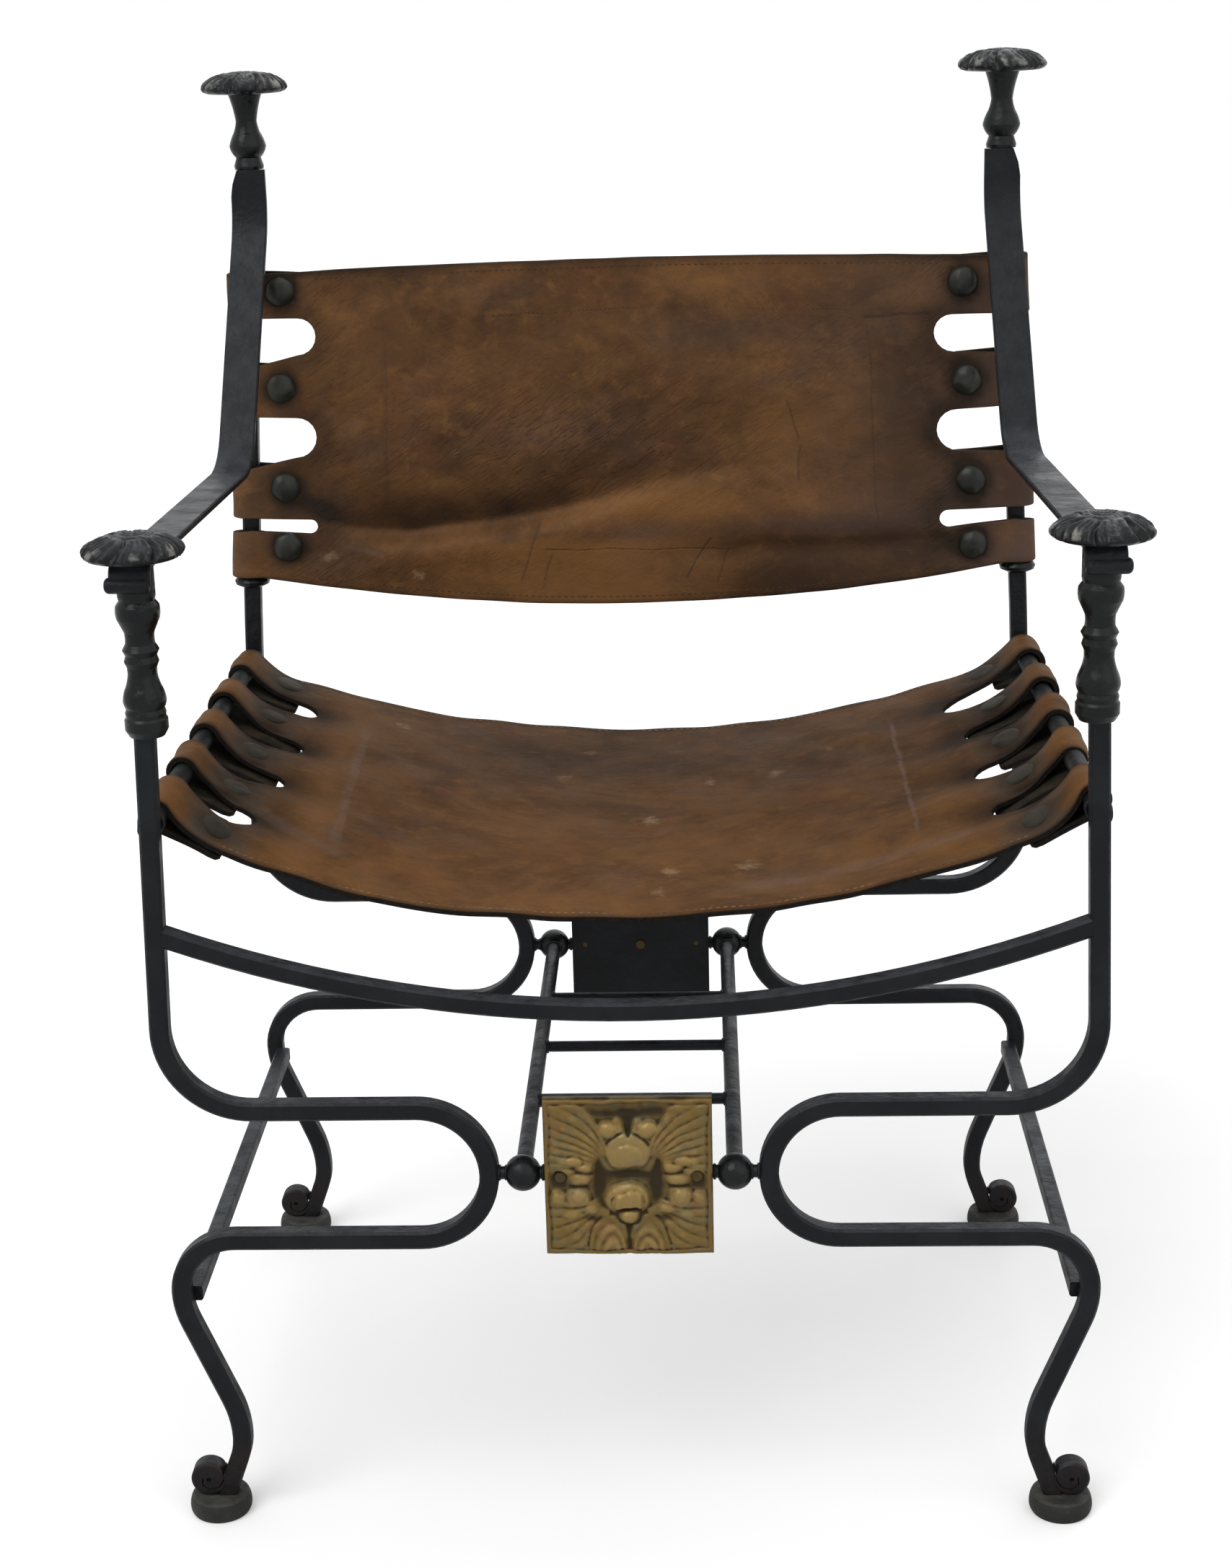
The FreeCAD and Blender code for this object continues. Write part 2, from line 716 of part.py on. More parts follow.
def seat_slot_places():
    first = seat_slot_middle - seat_slot_pitch * (seat_slot_count - 1) / 2
    return [first + index * seat_slot_pitch for index in range(seat_slot_count)]


def seat_slot(y, side, low, high, far):
    # the slot narrows from the rail to its round inner end
    end = seat_slot_reach + seat_slot_end_radius
    half = seat_slot_width / 2
    radius = seat_slot_end_radius
    corners = [(end, y - radius), (seat_rail_reach - half, y - half), (far, y - half),
               (far, y + half), (seat_rail_reach - half, y + half), (end, y + radius)]
    points = [Vector(side * x, place, low) for x, place in corners]
    outline = Part.Face(Part.makePolygon(points + points[:1]))
    hole = outline.extrude(Vector(0, 0, high - low))
    return hole.fuse(Part.makeCylinder(radius, high - low, Vector(side * end, y, low)))


def flat_plane(across, forward):
    return Vector(across, -forward, 0)


def back_sling():
    outlines = []
    low = back_bottom - back_belly
    high = back_top + back_crown
    for z in (low, high):
        x = post_x(z, back_post_height, rear_post_top_lean)
        # out is towards the sitter, so the rail's place counts forward from the back
        rail = (x, -rear_y)
        middle = -rear_y + back_loop_radius - back_dish
        wire = back_outline(rail, middle)
        wire.translate(Vector(0, 0, z))
        outlines.append(wire)
    sling = Part.makeLoft(outlines, True, True)
    return sling.common(back_cut(low, high))


def back_outline(rail, middle):
    # the front of the sheet is one hollow curve from loop to loop
    apart = rail[1] - middle
    radius = (rail[0] ** 2 + apart ** 2 - back_loop_radius ** 2) / (2 * (back_loop_radius + apart))
    center = (0, middle + radius)
    meet = math.degrees(math.atan2(rail[1] - center[1], rail[0]))
    flap = (back_flap_reach, under_sheet(center, radius, back_flap_reach) - back_flap_gap - leather)
    start = flap_start(rail, back_loop_radius, flap)
    edges = flap_edges(flat_plane, rail, back_loop_radius, flap)
    for offset in (0, leather):
        edges += arc_edges(flat_plane, arcs(center, radius + offset, -90, meet, 1))
        edges += arc_edges(flat_plane, arcs(rail, back_loop_radius - offset, meet + 180, start, 2))
    return full_outline(edges)


def back_cut(low, high):
    # the outline of the sling seen from the front, with its slots: the loops end level
    near = rear_y - overrun
    far = bend_reach + overrun
    corner = post_x(back_bottom, back_post_height, rear_post_top_lean) - back_loop_radius
    edges = []
    for start, middle in ((back_top, high), (back_bottom, low)):
        curve = Part.Arc(Vector(-corner, near, start), Vector(0, near, middle), Vector(corner, near, start))
        edges.append(curve.toShape())
        for side in (-1, 1):
            edges.append(Part.LineSegment(Vector(side * corner, near, start),
                                          Vector(side * far, near, start)).toShape())
    for side in (-1, 1):
        edges.append(Part.LineSegment(Vector(side * far, near, back_top),
                                      Vector(side * far, near, back_bottom)).toShape())
    outline = Part.Wire(Part.__sortEdges__(edges))
    body = Part.Face(outline).extrude(Vector(0, 2 * overrun, 0))
    for bottom, top in back_slots:
        radius = (top - bottom) / 2
        for side in (-1, 1):
            start = Vector(side * (back_slot_reach + radius), near, (bottom + top) / 2)
            body = body.cut(Part.makeCylinder(radius, 2 * overrun, start, Vector(0, 1, 0)))
            low_x, high_x = sorted((side * (back_slot_reach + radius), side * 2 * far))
            body = body.cut(block(Vector(low_x, near, bottom), Vector(high_x, near + 2 * overrun, top)))
    return body


seat_leather = seat_sling()
save("seat_sling", seat_leather)
back_leather = back_sling()
save("back_sling", back_leather)


# Dome nails through the tabs

def nail(base, out):
    # a forged head that stands on its rim
    return Part.makeCone(nail_radius, nail_crown_radius, nail_height, base, out)


def surface_point(sling, start, way):
    # first point of the leather that a line meets
    line = Part.LineSegment(start, start + way).toShape()
    hits = line.common(sling)
    return min((vertex.Point for vertex in hits.Vertexes), key=lambda point: point.distanceToPoint(start))


def nails(sling, places, out, across):
    # each nail spans the hollow of the leather from one side of its rim to the other
    solids = []
    for place in places:
        rims = [surface_point(sling, place + across * (side * nail_radius) + out * overrun,
                              out * (-2 * overrun)) for side in (-1, 1)]
        chord = (rims[1] - rims[0]).normalize()
        square = (out - chord * out.dot(chord)).normalize()
        solids.append(nail((rims[0] + rims[1]) * 0.5 + square * nail_gap, square))
    return Part.makeCompound(solids)


back_places = [Vector(back_nail_reach, rear_y, z) for z in back_nail_heights]
write_pair("back_nails", nails(back_leather, back_places, Vector(0, -1, 0), Vector(1, 0, 0)))

edges_y = [seat_front]
for y in seat_slot_places():
    edges_y += [y - seat_slot_width / 2, y + seat_slot_width / 2]
edges_y.append(seat_back)
tab_places = [(edges_y[index] + edges_y[index + 1]) / 2 for index in range(0, len(edges_y), 2)]
seat_out = Vector(-sin(seat_nail_lean), 0, cos(seat_nail_lean))
seat_across = Vector(cos(seat_nail_lean), 0, sin(seat_nail_lean))
seat_places = [Vector(seat_nail_reach, y, (seat_front_height + seat_rail_height) / 2 + nail_radius)
               for y in tab_places]
write_pair("seat_nails", nails(seat_leather, seat_places, seat_out, seat_across))
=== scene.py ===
import json
import math
import random

import bmesh
import bpy
import numpy as np
from mathutils import Matrix, Vector, noise


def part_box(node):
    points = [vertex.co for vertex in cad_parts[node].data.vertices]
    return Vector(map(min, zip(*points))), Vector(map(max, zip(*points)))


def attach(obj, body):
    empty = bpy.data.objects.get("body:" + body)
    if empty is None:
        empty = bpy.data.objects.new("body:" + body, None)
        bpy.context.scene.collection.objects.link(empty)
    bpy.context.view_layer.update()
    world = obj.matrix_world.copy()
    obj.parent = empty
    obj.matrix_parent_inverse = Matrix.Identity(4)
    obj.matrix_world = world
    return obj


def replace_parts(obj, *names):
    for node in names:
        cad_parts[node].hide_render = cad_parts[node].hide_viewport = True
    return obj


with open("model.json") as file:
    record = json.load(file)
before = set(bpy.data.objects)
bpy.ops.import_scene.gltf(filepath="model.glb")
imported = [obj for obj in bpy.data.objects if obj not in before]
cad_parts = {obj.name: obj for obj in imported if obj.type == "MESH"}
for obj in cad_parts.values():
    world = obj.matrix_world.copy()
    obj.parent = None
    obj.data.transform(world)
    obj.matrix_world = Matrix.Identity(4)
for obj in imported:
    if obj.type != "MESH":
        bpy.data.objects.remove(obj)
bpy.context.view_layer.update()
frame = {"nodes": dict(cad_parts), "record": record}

mm = 0.001


# Materials: sums on wires add their Math nodes

class Wire:
    def __init__(self, finish, socket):
        self.finish = finish
        self.socket = socket

    def __add__(self, other):
        return self.finish.math("ADD", self, other)

    def __sub__(self, other):
        return self.finish.math("SUBTRACT", self, other)

    def __rsub__(self, other):
        return self.finish.math("SUBTRACT", other, self)

    def __mul__(self, other):
        return self.finish.math("MULTIPLY", self, other)

    __radd__ = __add__
    __rmul__ = __mul__


class Finish:
    def __init__(self, name, shader):
        self.material = bpy.data.materials.new(name)
        self.material.use_nodes = True
        self.nodes = self.material.node_tree.nodes
        self.links = self.material.node_tree.links
        self.shader = self.nodes["Principled BSDF"]
        self.set(shader)

    def feed(self, socket, value):
        if isinstance(value, Wire):
            self.links.new(value.socket, socket)
        else:
            socket.default_value = value

    def set(self, values):
        for name, value in values.items():
            self.feed(self.shader.inputs[name], value)

    def node(self, kind, settings=(), values=(), output=0):
        made = self.nodes.new("ShaderNode" + kind)
        for name, value in dict(settings).items():
            setattr(made, name, value)
        for name, value in dict(values).items():
            self.feed(made.inputs[name], value)
        return Wire(self, made.outputs[output])

    def math(self, kind, *values):
        return self.node("Math", {"operation": kind}, dict(enumerate(values)))

    def mix(self, factor, first, second):
        first, second = [c if isinstance(c, Wire) else (*c, 1.0) for c in (first, second)]
        return self.node("Mix", {"data_type": "RGBA"}, {0: factor, 6: first, 7: second}, 2)

    def cloud(self, at, scale, detail=4.0, roughness=0.55, distortion=0.0):
        return self.node("TexNoise", {}, {"Vector": at, "Scale": scale, "Detail": detail,
                                          "Roughness": roughness, "Distortion": distortion})

    def step(self, value, low, high):
        # 0 below low, 1 above high, smooth between them
        return self.node("MapRange", {"interpolation_type": "SMOOTHSTEP"},
                         {"Value": value, "From Min": low, "From Max": high})

    def stretch(self, at, scale, shift=(0, 0, 0), turn=0.0):
        if turn:
            at = self.node("Mapping", {}, {"Vector": at, "Rotation": (0, 0, -turn)})
        return self.node("Mapping", {}, {"Vector": at, "Scale": scale, "Location": shift})

    def stroke(self, flat, start, end, width, wander):
        # 1 on a line drawn from start to end, 0 beyond its width
        turn = math.atan2(end[1] - start[1], end[0] - start[0])
        at = self.node("Mapping", {"vector_type": "TEXTURE"},
                       {"Vector": flat, "Location": (*start, 0), "Rotation": (0, 0, turn),
                        "Scale": (math.dist(start, end), 1, 1)})
        along, apart = [self.node("SeparateXYZ", {}, {0: at}, k) for k in (0, 1)]
        near = self.step(self.math("ABSOLUTE", apart + wander), width, width * 0.15)
        return near * self.step(self.math("ABSOLUTE", along - 0.5), 0.5, 0.40)

    def paint(self, name):
        # what the mesh itself carries at each point
        return self.node("Attribute", {"attribute_name": name}, output=2)

    def bump(self, height, distance, strength=1.0):
        return self.node("Bump", {}, {"Height": height, "Distance": distance, "Strength": strength})


ironLook = {
    "wroughtIron": {"dark": (0.0042, 0.0047, 0.0058), "light": (0.0100, 0.0110, 0.0135),
                    "dustAndSheen": (0.034, 0.038, 0.046), "dustAndSheenShare": 0.75, "rough": (0.36, 0.54), "hammer": 0.0016,
                    "specular": 0.16},
    # a darker copy of the wrought iron for the seat rails: painted shade under the leather loops
    "shadedRailIron": {"dark": (0.0034, 0.0044, 0.0040), "light": (0.0090, 0.0105, 0.0095), "dustAndSheen": (0.014, 0.017, 0.015),
                 "dustAndSheenShare": 0.4, "rough": (0.45, 0.60), "hammer": 0.0012, "specular": 0.08},
    "turnedIron": {"dark": (0.0030, 0.0038, 0.0040), "light": (0.0072, 0.0088, 0.0090), "dustAndSheen": (0.017, 0.021, 0.023),
                   "dustAndSheenShare": 0.45, "rough": (0.20, 0.40), "hammer": 0.0012, "specular": 0.19},
    "rosetteIron": {"dark": (0.0032, 0.0038, 0.0044), "light": (0.0085, 0.0098, 0.0110), "dustAndSheen": (0.020, 0.025, 0.029),
                    "dustAndSheenShare": 0.45, "rough": (0.24, 0.42), "hammer": 0.0008, "specular": 0.18},
    "padIron": {"dark": (0.019, 0.019, 0.017), "light": (0.048, 0.048, 0.043), "dustAndSheen": (0.075, 0.074, 0.066),
                "dustAndSheenShare": 0.6, "rough": (0.55, 0.75), "hammer": 0.0030, "specular": 0.16},
    "nailIron": {"dark": (0.0070, 0.0080, 0.0058), "light": (0.022, 0.024, 0.0175), "dustAndSheen": (0.044, 0.047, 0.036),
                 "dustAndSheenShare": 0.5, "rough": (0.34, 0.48), "hammer": 0.0010, "specular": 0.26},
    "flatNailIron": {"dark": (0.0200, 0.0170, 0.0130), "light": (0.042, 0.037, 0.029), "dustAndSheen": (0.058, 0.052, 0.042),
                     "dustAndSheenShare": 0.4, "rough": (0.55, 0.70), "hammer": 0.0014, "specular": 0.08},
}
rust = {"color": (0.020, 0.0125, 0.0100), "top": 0.070, "share": 0.45}
# colour of the rubbed crests: real wear and painted highlight
wornAndHighlitIron = {"bright": (0.27, 0.265, 0.235), "share": 0.75}


def ironFinish(name, wornAndHighlit=False, rusty=False, hammered=False):
    look = ironLook[name]
    f = Finish(name, {"Specular IOR Level": look["specular"], "Metallic": 0.0})
    at = f.node("TexCoord", output=3)
    blotch = f.step(f.cloud(at, 22.0, 5.0, 0.6), 0.42, 0.66)
    speck = f.step(f.cloud(at, 260.0, 3.0, 0.7), 0.60, 0.74)
    # faces that point up are lightened: partly real dust, partly painted sheen of the light from above
    up = f.node("SeparateXYZ", {}, {0: f.node("NewGeometry", output=1)}, 2)
    dustAndSheen = f.step(up, 0.30, 0.95) * f.step(f.cloud(at, 55.0, 4.0, 0.65), 0.25, 0.65) * look["dustAndSheenShare"]
    color = f.mix(blotch * 0.6 + speck * 0.4, look["dark"], look["light"])
    color = f.mix(dustAndSheen, color, look["dustAndSheen"])
    rough = f.step(f.cloud(at, 45.0, 4.0), 0.3, 0.7) * (look["rough"][1] - look["rough"][0]) + look["rough"][0]
    if rusty:
        # the rolled feet have a brown bloom
        height = f.node("SeparateXYZ", {}, {0: at}, 2)
        bloom = f.step(height, rust["top"], rust["top"] - 0.03) * f.step(f.cloud(at, 90.0, 4.0, 0.6), 0.35, 0.62)
        color = f.mix(bloom * rust["share"], color, rust["color"])
        rough = rough + bloom * 0.2
    if wornAndHighlit:
        # raised parts near the rim are lighter, partly rubbed wear and partly painted highlight; hollows keep their
        # black wax
        rubbedAndHighlit = f.step(f.paint("wornAndHighlit") + f.cloud(at, 105.0, 5.0, 0.75) * 1.3, 1.12, 1.62)
        color = f.mix(rubbedAndHighlit * wornAndHighlitIron["share"], color, wornAndHighlitIron["bright"])
        color = f.mix(f.step(f.paint("hollow"), 0.3, 0.9), color, (0.0025, 0.0025, 0.003))
        rough = rough + rubbedAndHighlit * 0.05
    height = f.cloud(at, 75.0, 2.0, 0.5) + f.cloud(at, 420.0, 3.0, 0.6) * 0.25
    if hammered:
        dents = f.node("TexVoronoi", {"feature": "SMOOTH_F1"}, {"Vector": at, "Scale": 120.0, "Smoothness": 0.6})
        height = height * 0.5 + dents * 0.35
        # the ridges between the dents take a little of the same dust-and-sheen colour
        color = f.mix(f.step(dents, 0.4, 0.8) * 0.25, color, look["dustAndSheen"])
    f.set({"Base Color": color, "Roughness": rough, "Normal": f.bump(height, look["hammer"])})
    return f.material


brassLook = {"high": (0.315, 0.212, 0.074), "field": (0.142, 0.088, 0.0225), "low": (0.022, 0.015, 0.006),
             "green": (0.105, 0.096, 0.048), "red": (0.160, 0.082, 0.032), "metal": 0.35}


def brassFinish(name, tarnish=0.0):
    f = Finish(name, {"Specular IOR Level": 0.25, "Metallic": brassLook["metal"]})
    at = f.node("TexCoord", output=3)
    raised, hollow = f.paint("relief"), f.paint("hollow")
    color = f.mix(f.step(f.cloud(at, 60.0, 4.0, 0.6), 0.44, 0.68) * 0.7, brassLook["field"], brassLook["green"])
    color = f.mix(f.step(f.cloud(at, 42.0, 3.0), 0.54, 0.72) * 0.6, color, brassLook["red"])
    # raised parts lighter: rubbed wear and painted highlight
    rubbedAndHighlit = f.step(raised + f.cloud(at, 130.0, 3.0) * 0.6 - hollow * 0.7, 0.80, 1.25)
    color = f.mix(rubbedAndHighlit * 0.55, color, brassLook["high"])
    # hollows darker: patina and painted shade
    sunkAndShaded = f.step(hollow + f.cloud(at, 200.0, 2.0) * 0.2 + tarnish, 0.20, 0.85)
    color = f.mix(sunkAndShaded * 0.94, color, brassLook["low"])
    rough = 0.36 + sunkAndShaded * 0.30 + f.cloud(at, 90.0) * 0.14 - rubbedAndHighlit * 0.08
    grain = f.cloud(at, 320.0, 4.0, 0.6)
    f.set({"Base Color": color, "Roughness": rough, "Normal": f.bump(grain, 0.0005)})
    return f.material


leatherLook = {
    "umber": (0.052, 0.0245, 0.0098), "brown": (0.098, 0.0455, 0.0165), "golden": (0.186, 0.085, 0.0265),
    "red": (0.122, 0.045, 0.0165), "mauve": (0.102, 0.063, 0.046), "scuff": (0.30, 0.195, 0.110),
    "dirtAndShade": (0.0165, 0.0100, 0.0062), "line": (0.030, 0.018, 0.0145),
    "edge": (0.0120, 0.0085, 0.0065), "flesh": (0.030, 0.0215, 0.0135),
}


def leatherFinish(name, strokes, wear):
    # strokes are lines in the flat pattern: start, end, width, how dark (or how pale, below zero), whether dotted
    look = leatherLook
    f = Finish(name, {"Specular IOR Level": wear["specular"]})
    flat = f.node("UVMap", {"uv_map": "flat"})
    patch = f.cloud(f.stretch(flat, (8.0, 9.0, 1.0), (0.7, 2.9, 0)), 1.0, 6.0, 0.66, 0.6)
    color = f.mix(f.step(patch, 0.36, 0.62), look["umber"], look["brown"])
    gold = f.step(f.cloud(f.stretch(flat, (9.0, 12.0, 1.0), (3.1, 1.7, 0)), 1.0, 6.0, 0.68, 0.8), 0.42, 0.66)
    color = f.mix(gold * wear["golden"], color, look["golden"])
    ruddy = f.step(f.cloud(f.stretch(flat, (16.0, 12.0, 1.0), (9.3, 4.1, 0)), 1.0, 5.0, 0.66), 0.50, 0.68)
    color = f.mix(ruddy * 0.42, color, look["red"])
    faded = f.step(f.cloud(f.stretch(flat, (14.0, 17.0, 1.0), (5.7, 8.9, 0)), 1.0, 5.0, 0.66), 0.50, 0.70)
    color = f.mix(faded * wear["grey"], color, look["mauve"])
    mottle = f.cloud(f.stretch(flat, (46.0, 66.0, 1.0), (1.3, 0.2, 0)), 1.0, 5.0, 0.68, 0.4)
    color = f.mix(f.step(mottle, 0.52, 0.68) * 0.40, color, look["golden"])
    color = f.mix(f.step(mottle, 0.48, 0.32) * 0.42, color, look["umber"])
    # fine slanting wrinkles where the mesh says that the leather is creased; their furrows are darkened as painted
    # shade
    slant = f.cloud(f.stretch(flat, (38.0, 190.0, 1.0), turn=wear["grain"]), 1.0, 3.0, 0.55, 1.6)
    furrow = f.step(slant, 0.49, 0.36) * (f.paint("creased") + 0.12)
    color = f.mix(furrow * 0.40, color, look["umber"])
    pores = f.cloud(flat, 300.0, 3.0, 0.7)
    color = f.mix(f.step(pores, 0.5, 0.72) * 0.30, color, look["umber"])
    # golden tone, partly painted light on surfaces that face up
    color = f.mix(f.paint("giltAndLight") * (0.45 + mottle * 0.9), color, look["golden"])
    # grey or mauve film; on the seat it is partly painted sheen
    color = f.mix(f.paint("filmAndSheen") * (0.55 + patch * 0.8), color, wear["filmAndSheen"])
    scuff = f.step(f.paint("scuffed") + f.cloud(flat, 95.0, 3.0, 0.7) * 0.9, 0.80, 1.15)
    color = f.mix(scuff * 0.6, color, look["scuff"])
    # real dirt and painted shade darken the colour here
    dirtAndShade = f.paint("dirtAndShade") * (0.62 + f.cloud(flat, 44.0, 6.0, 0.7) * 0.76)
    color = f.mix(f.math("MINIMUM", dirtAndShade, 0.96), color, look["dirtAndShade"])
    height = f.cloud(flat, 520.0, 3.0, 0.6) * 0.25 + f.cloud(flat, 150.0, 4.0, 0.6) * 0.35 + patch * 0.6
    height = height + mottle * 0.5 - furrow * 0.5
    broken = f.step(f.cloud(flat, 60.0, 3.0, 0.7), 0.34, 0.56)
    dots = f.step(f.math("ABSOLUTE", f.math("SINE", f.node("SeparateXYZ", {}, {0: flat}, 0) * 900.0)), 0.55, 0.80)
    wander = f.cloud(flat, 34.0, 2.0) * 0.006 - 0.003
    for start, end, width, tone, dotted in strokes:
        line = f.stroke(flat, start, end, width, wander) * (broken * dots if dotted else broken * 0.6 + 0.4)
        color = f.mix(line * (abs(tone) * 0.72), color, look["line"] if tone > 0 else wear["pale"])
        height = height - line * (abs(tone) * 0.7)
    rough = 0.50 + f.cloud(flat, 26.0, 4.0) * 0.20 + f.paint("filmAndSheen") * 0.10 + f.paint("dirtAndShade") * 0.10
    f.set({"Base Color": color, "Roughness": rough, "Normal": f.bump(height, 0.0012, 0.8)})
    return f.material


def plainLeather(name, color, dark, scale):
    f = Finish(name, {"Specular IOR Level": 0.10})
    at = f.node("TexCoord", output=3)
    hair = f.cloud(at, scale, 5.0, 0.7)
    f.set({"Base Color": f.mix(f.step(hair, 0.35, 0.65), dark, color), "Roughness": 0.72 + hair * 0.2,
           "Normal": f.bump(hair, 0.0008)})
    return f.material


def threadFinish(name, color):
    f = Finish(name, {"Specular IOR Level": 0.2})
    at = f.node("TexCoord", output=3)
    fuzz = f.cloud(at, 900.0, 3.0)
    soiled = f.step(f.cloud(at, 30.0, 3.0), 0.35, 0.65)
    f.set({"Base Color": f.mix(fuzz * 0.4 + soiled * 0.6, (0.045, 0.024, 0.011), color),
           "Roughness": 0.55 + fuzz * 0.2, "Normal": f.bump(fuzz, 0.0003)})
    return f.material


seatStrokes = [
    ((-0.207, 0.130), (-0.201, -0.135), 0.0060, -0.40, False),
    ((0.199, 0.140), (0.201, -0.128), 0.0026, -0.55, False),
    ((-0.203, 0.120), (-0.197, -0.120), 0.0011, 0.25, False),
    ((0.060, -0.152), (0.245, -0.146), 0.0150, -0.38, False),
    ((-0.262, -0.100), (-0.190, -0.142), 0.0120, -0.35, False),
    ((-0.16, 0.118), (0.10, 0.104), 0.0120, 0.22, False),
    ((0.045, 0.020), (0.135, 0.030), 0.0012, 0.30, False),
    ((-0.12, -0.055), (-0.02, -0.062), 0.0010, 0.25, False),
]
backStrokes = [
    ((-0.1885, 0.762), (-0.1885, 0.612), 0.0030, 0.26, False),
    ((-0.1870, 0.758), (-0.1870, 0.616), 0.0009, 0.30, False),
    ((0.1860, 0.766), (0.1890, 0.600), 0.0011, 0.42, False),
    ((-0.175, 0.7705), (0.03, 0.7765), 0.0011, 0.42, True),
    ((0.03, 0.7765), (0.183, 0.7690), 0.0010, 0.30, True),
    ((0.180, 0.7650), (0.236, 0.7665), 0.0022, 0.55, False),
    ((-0.078, 0.5895), (0.082, 0.5865), 0.0011, 0.50, False),
    ((-0.070, 0.612), (-0.086, 0.561), 0.0016, 0.55, False),
    ((-0.060, 0.586), (-0.069, 0.556), 0.0018, 0.45, False),
    ((0.062, 0.598), (0.042, 0.562), 0.0015, 0.62, False),
    ((0.076, 0.588), (0.066, 0.558), 0.0015, 0.55, False),
    ((0.088, 0.582), (0.087, 0.556), 0.0014, 0.35, False),
    ((0.122, 0.704), (0.1325, 0.668), 0.0013, 0.60, False),
    ((0.1325, 0.669), (0.1295, 0.638), 0.0013, 0.55, False),
    ((0.015, 0.712), (0.006, 0.690), 0.0014, 0.35, False),
    ((0.160, 0.742), (0.151, 0.716), 0.0014, 0.30, False),
    ((-0.019, 0.646), (-0.032, 0.630), 0.0024, 0.45, False),
    ((-0.222, 0.598), (-0.190, 0.588), 0.0030, -0.45, False),
]

wroughtIron = ironFinish("wroughtIron", rusty=True)
shadedRailIron = ironFinish("shadedRailIron")
turnedIron = ironFinish("turnedIron")
rosetteIron = ironFinish("rosetteIron", wornAndHighlit=True)
padIron = ironFinish("padIron")
nailIron = ironFinish("nailIron", hammered=True)
flatNailIron = ironFinish("flatNailIron")
antiqueBrass = brassFinish("antiqueBrass")
tarnishedBrass = brassFinish("tarnishedBrass", 0.50)
seatLeather = leatherFinish("seatLeather", seatStrokes, {
    "golden": 0.46, "grey": 0.38, "specular": 0.05, "grain": 0.1, "filmAndSheen": (0.078, 0.066, 0.053),
    "pale": (0.150, 0.108, 0.088)})
backLeather = leatherFinish("backLeather", backStrokes, {
    "golden": 0.60, "grey": 0.26, "specular": 0.14, "grain": 0.62, "filmAndSheen": (0.078, 0.051, 0.041),
    "pale": (0.135, 0.100, 0.084)})
leatherEdge = plainLeather("leatherEdge", leatherLook["edge"], (0.0050, 0.0045, 0.0038), 300.0)
leatherLip = plainLeather("leatherLip", (0.046, 0.0235, 0.0115), (0.018, 0.0095, 0.0055), 300.0)
leatherFlesh = plainLeather("leatherFlesh", leatherLook["flesh"], (0.0085, 0.0090, 0.0070), 55.0)
waxedThread = threadFinish("waxedThread", (0.27, 0.165, 0.080))
print("materials ready")


def addPiece(bm, name, materials):
    mesh = bpy.data.meshes.new(name)
    bm.to_mesh(mesh)
    bm.free()
    for material in materials:
        mesh.materials.append(material)
    mesh.shade_smooth()
    piece = bpy.data.objects.new(name, mesh)
    bpy.context.scene.collection.objects.link(piece)
    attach(piece, "root")
    return piece


# Iron that keeps its own CAD shape

slotFinish = {"wrought_iron": wroughtIron, "pad_iron": padIron, "screw_brass": tarnishedBrass}
for row in frame["record"]["subparts"]:
    node = frame["nodes"][row["node"]]
    material = slotFinish.get(row["material_slot"])
    if any(word in row["node"] for word in ("baluster", "finial", "ball", "collar")):
        material = turnedIron
    # the rail gets the darker copy of the iron, painted shade under the leather loops
    if "seat_rail" in row["node"]:
        material = shadedRailIron
    if material:
        node.data.materials.clear()
        node.data.materials.append(material)
print("iron nodes painted")


# Leather: each sling is cut flat and then hung on its rails

def lean(angle):
    return math.sin(math.radians(angle)), math.cos(math.radians(angle))


def arcPart(center, radius, start, end):
    return {"length": abs(math.radians(end - start)) * radius, "center": center, "radius": radius,
            "start": math.radians(start), "end": math.radians(end)}


def linePart(start, end):
    return {"length": math.dist(start, end), "from": start, "to": end}


def partPoints(part, share):
    if "radius" in part:
        angle = part["start"] + (part["end"] - part["start"]) * share
        return (part["center"][0] + part["radius"] * np.cos(angle), part["center"][1] + part["radius"] * np.sin(angle))
    return tuple(a + (b - a) * share for a, b in zip(part["from"], part["to"]))


def flapParts(rail, loop, meet, center, radius, sling):
    # the loop round the rail and the flap that comes back behind the sheet
    thickness = sling["thickness"]
    behind = center[1] - math.sqrt((radius + thickness) ** 2 - (sling["flapReach"] - center[0]) ** 2)
    flap = (sling["flapReach"], behind - sling["flapGap"] - thickness)
    toward = math.degrees(math.atan2(rail[1] - flap[1], rail[0] - flap[0]))
    leave = toward - math.degrees(math.asin(loop / math.dist(rail, flap))) - 90
    off = (rail[0] + loop * lean(leave)[1], rail[1] + loop * lean(leave)[0])
    return [arcPart(rail, loop, meet + 180, leave), linePart(off, flap)]


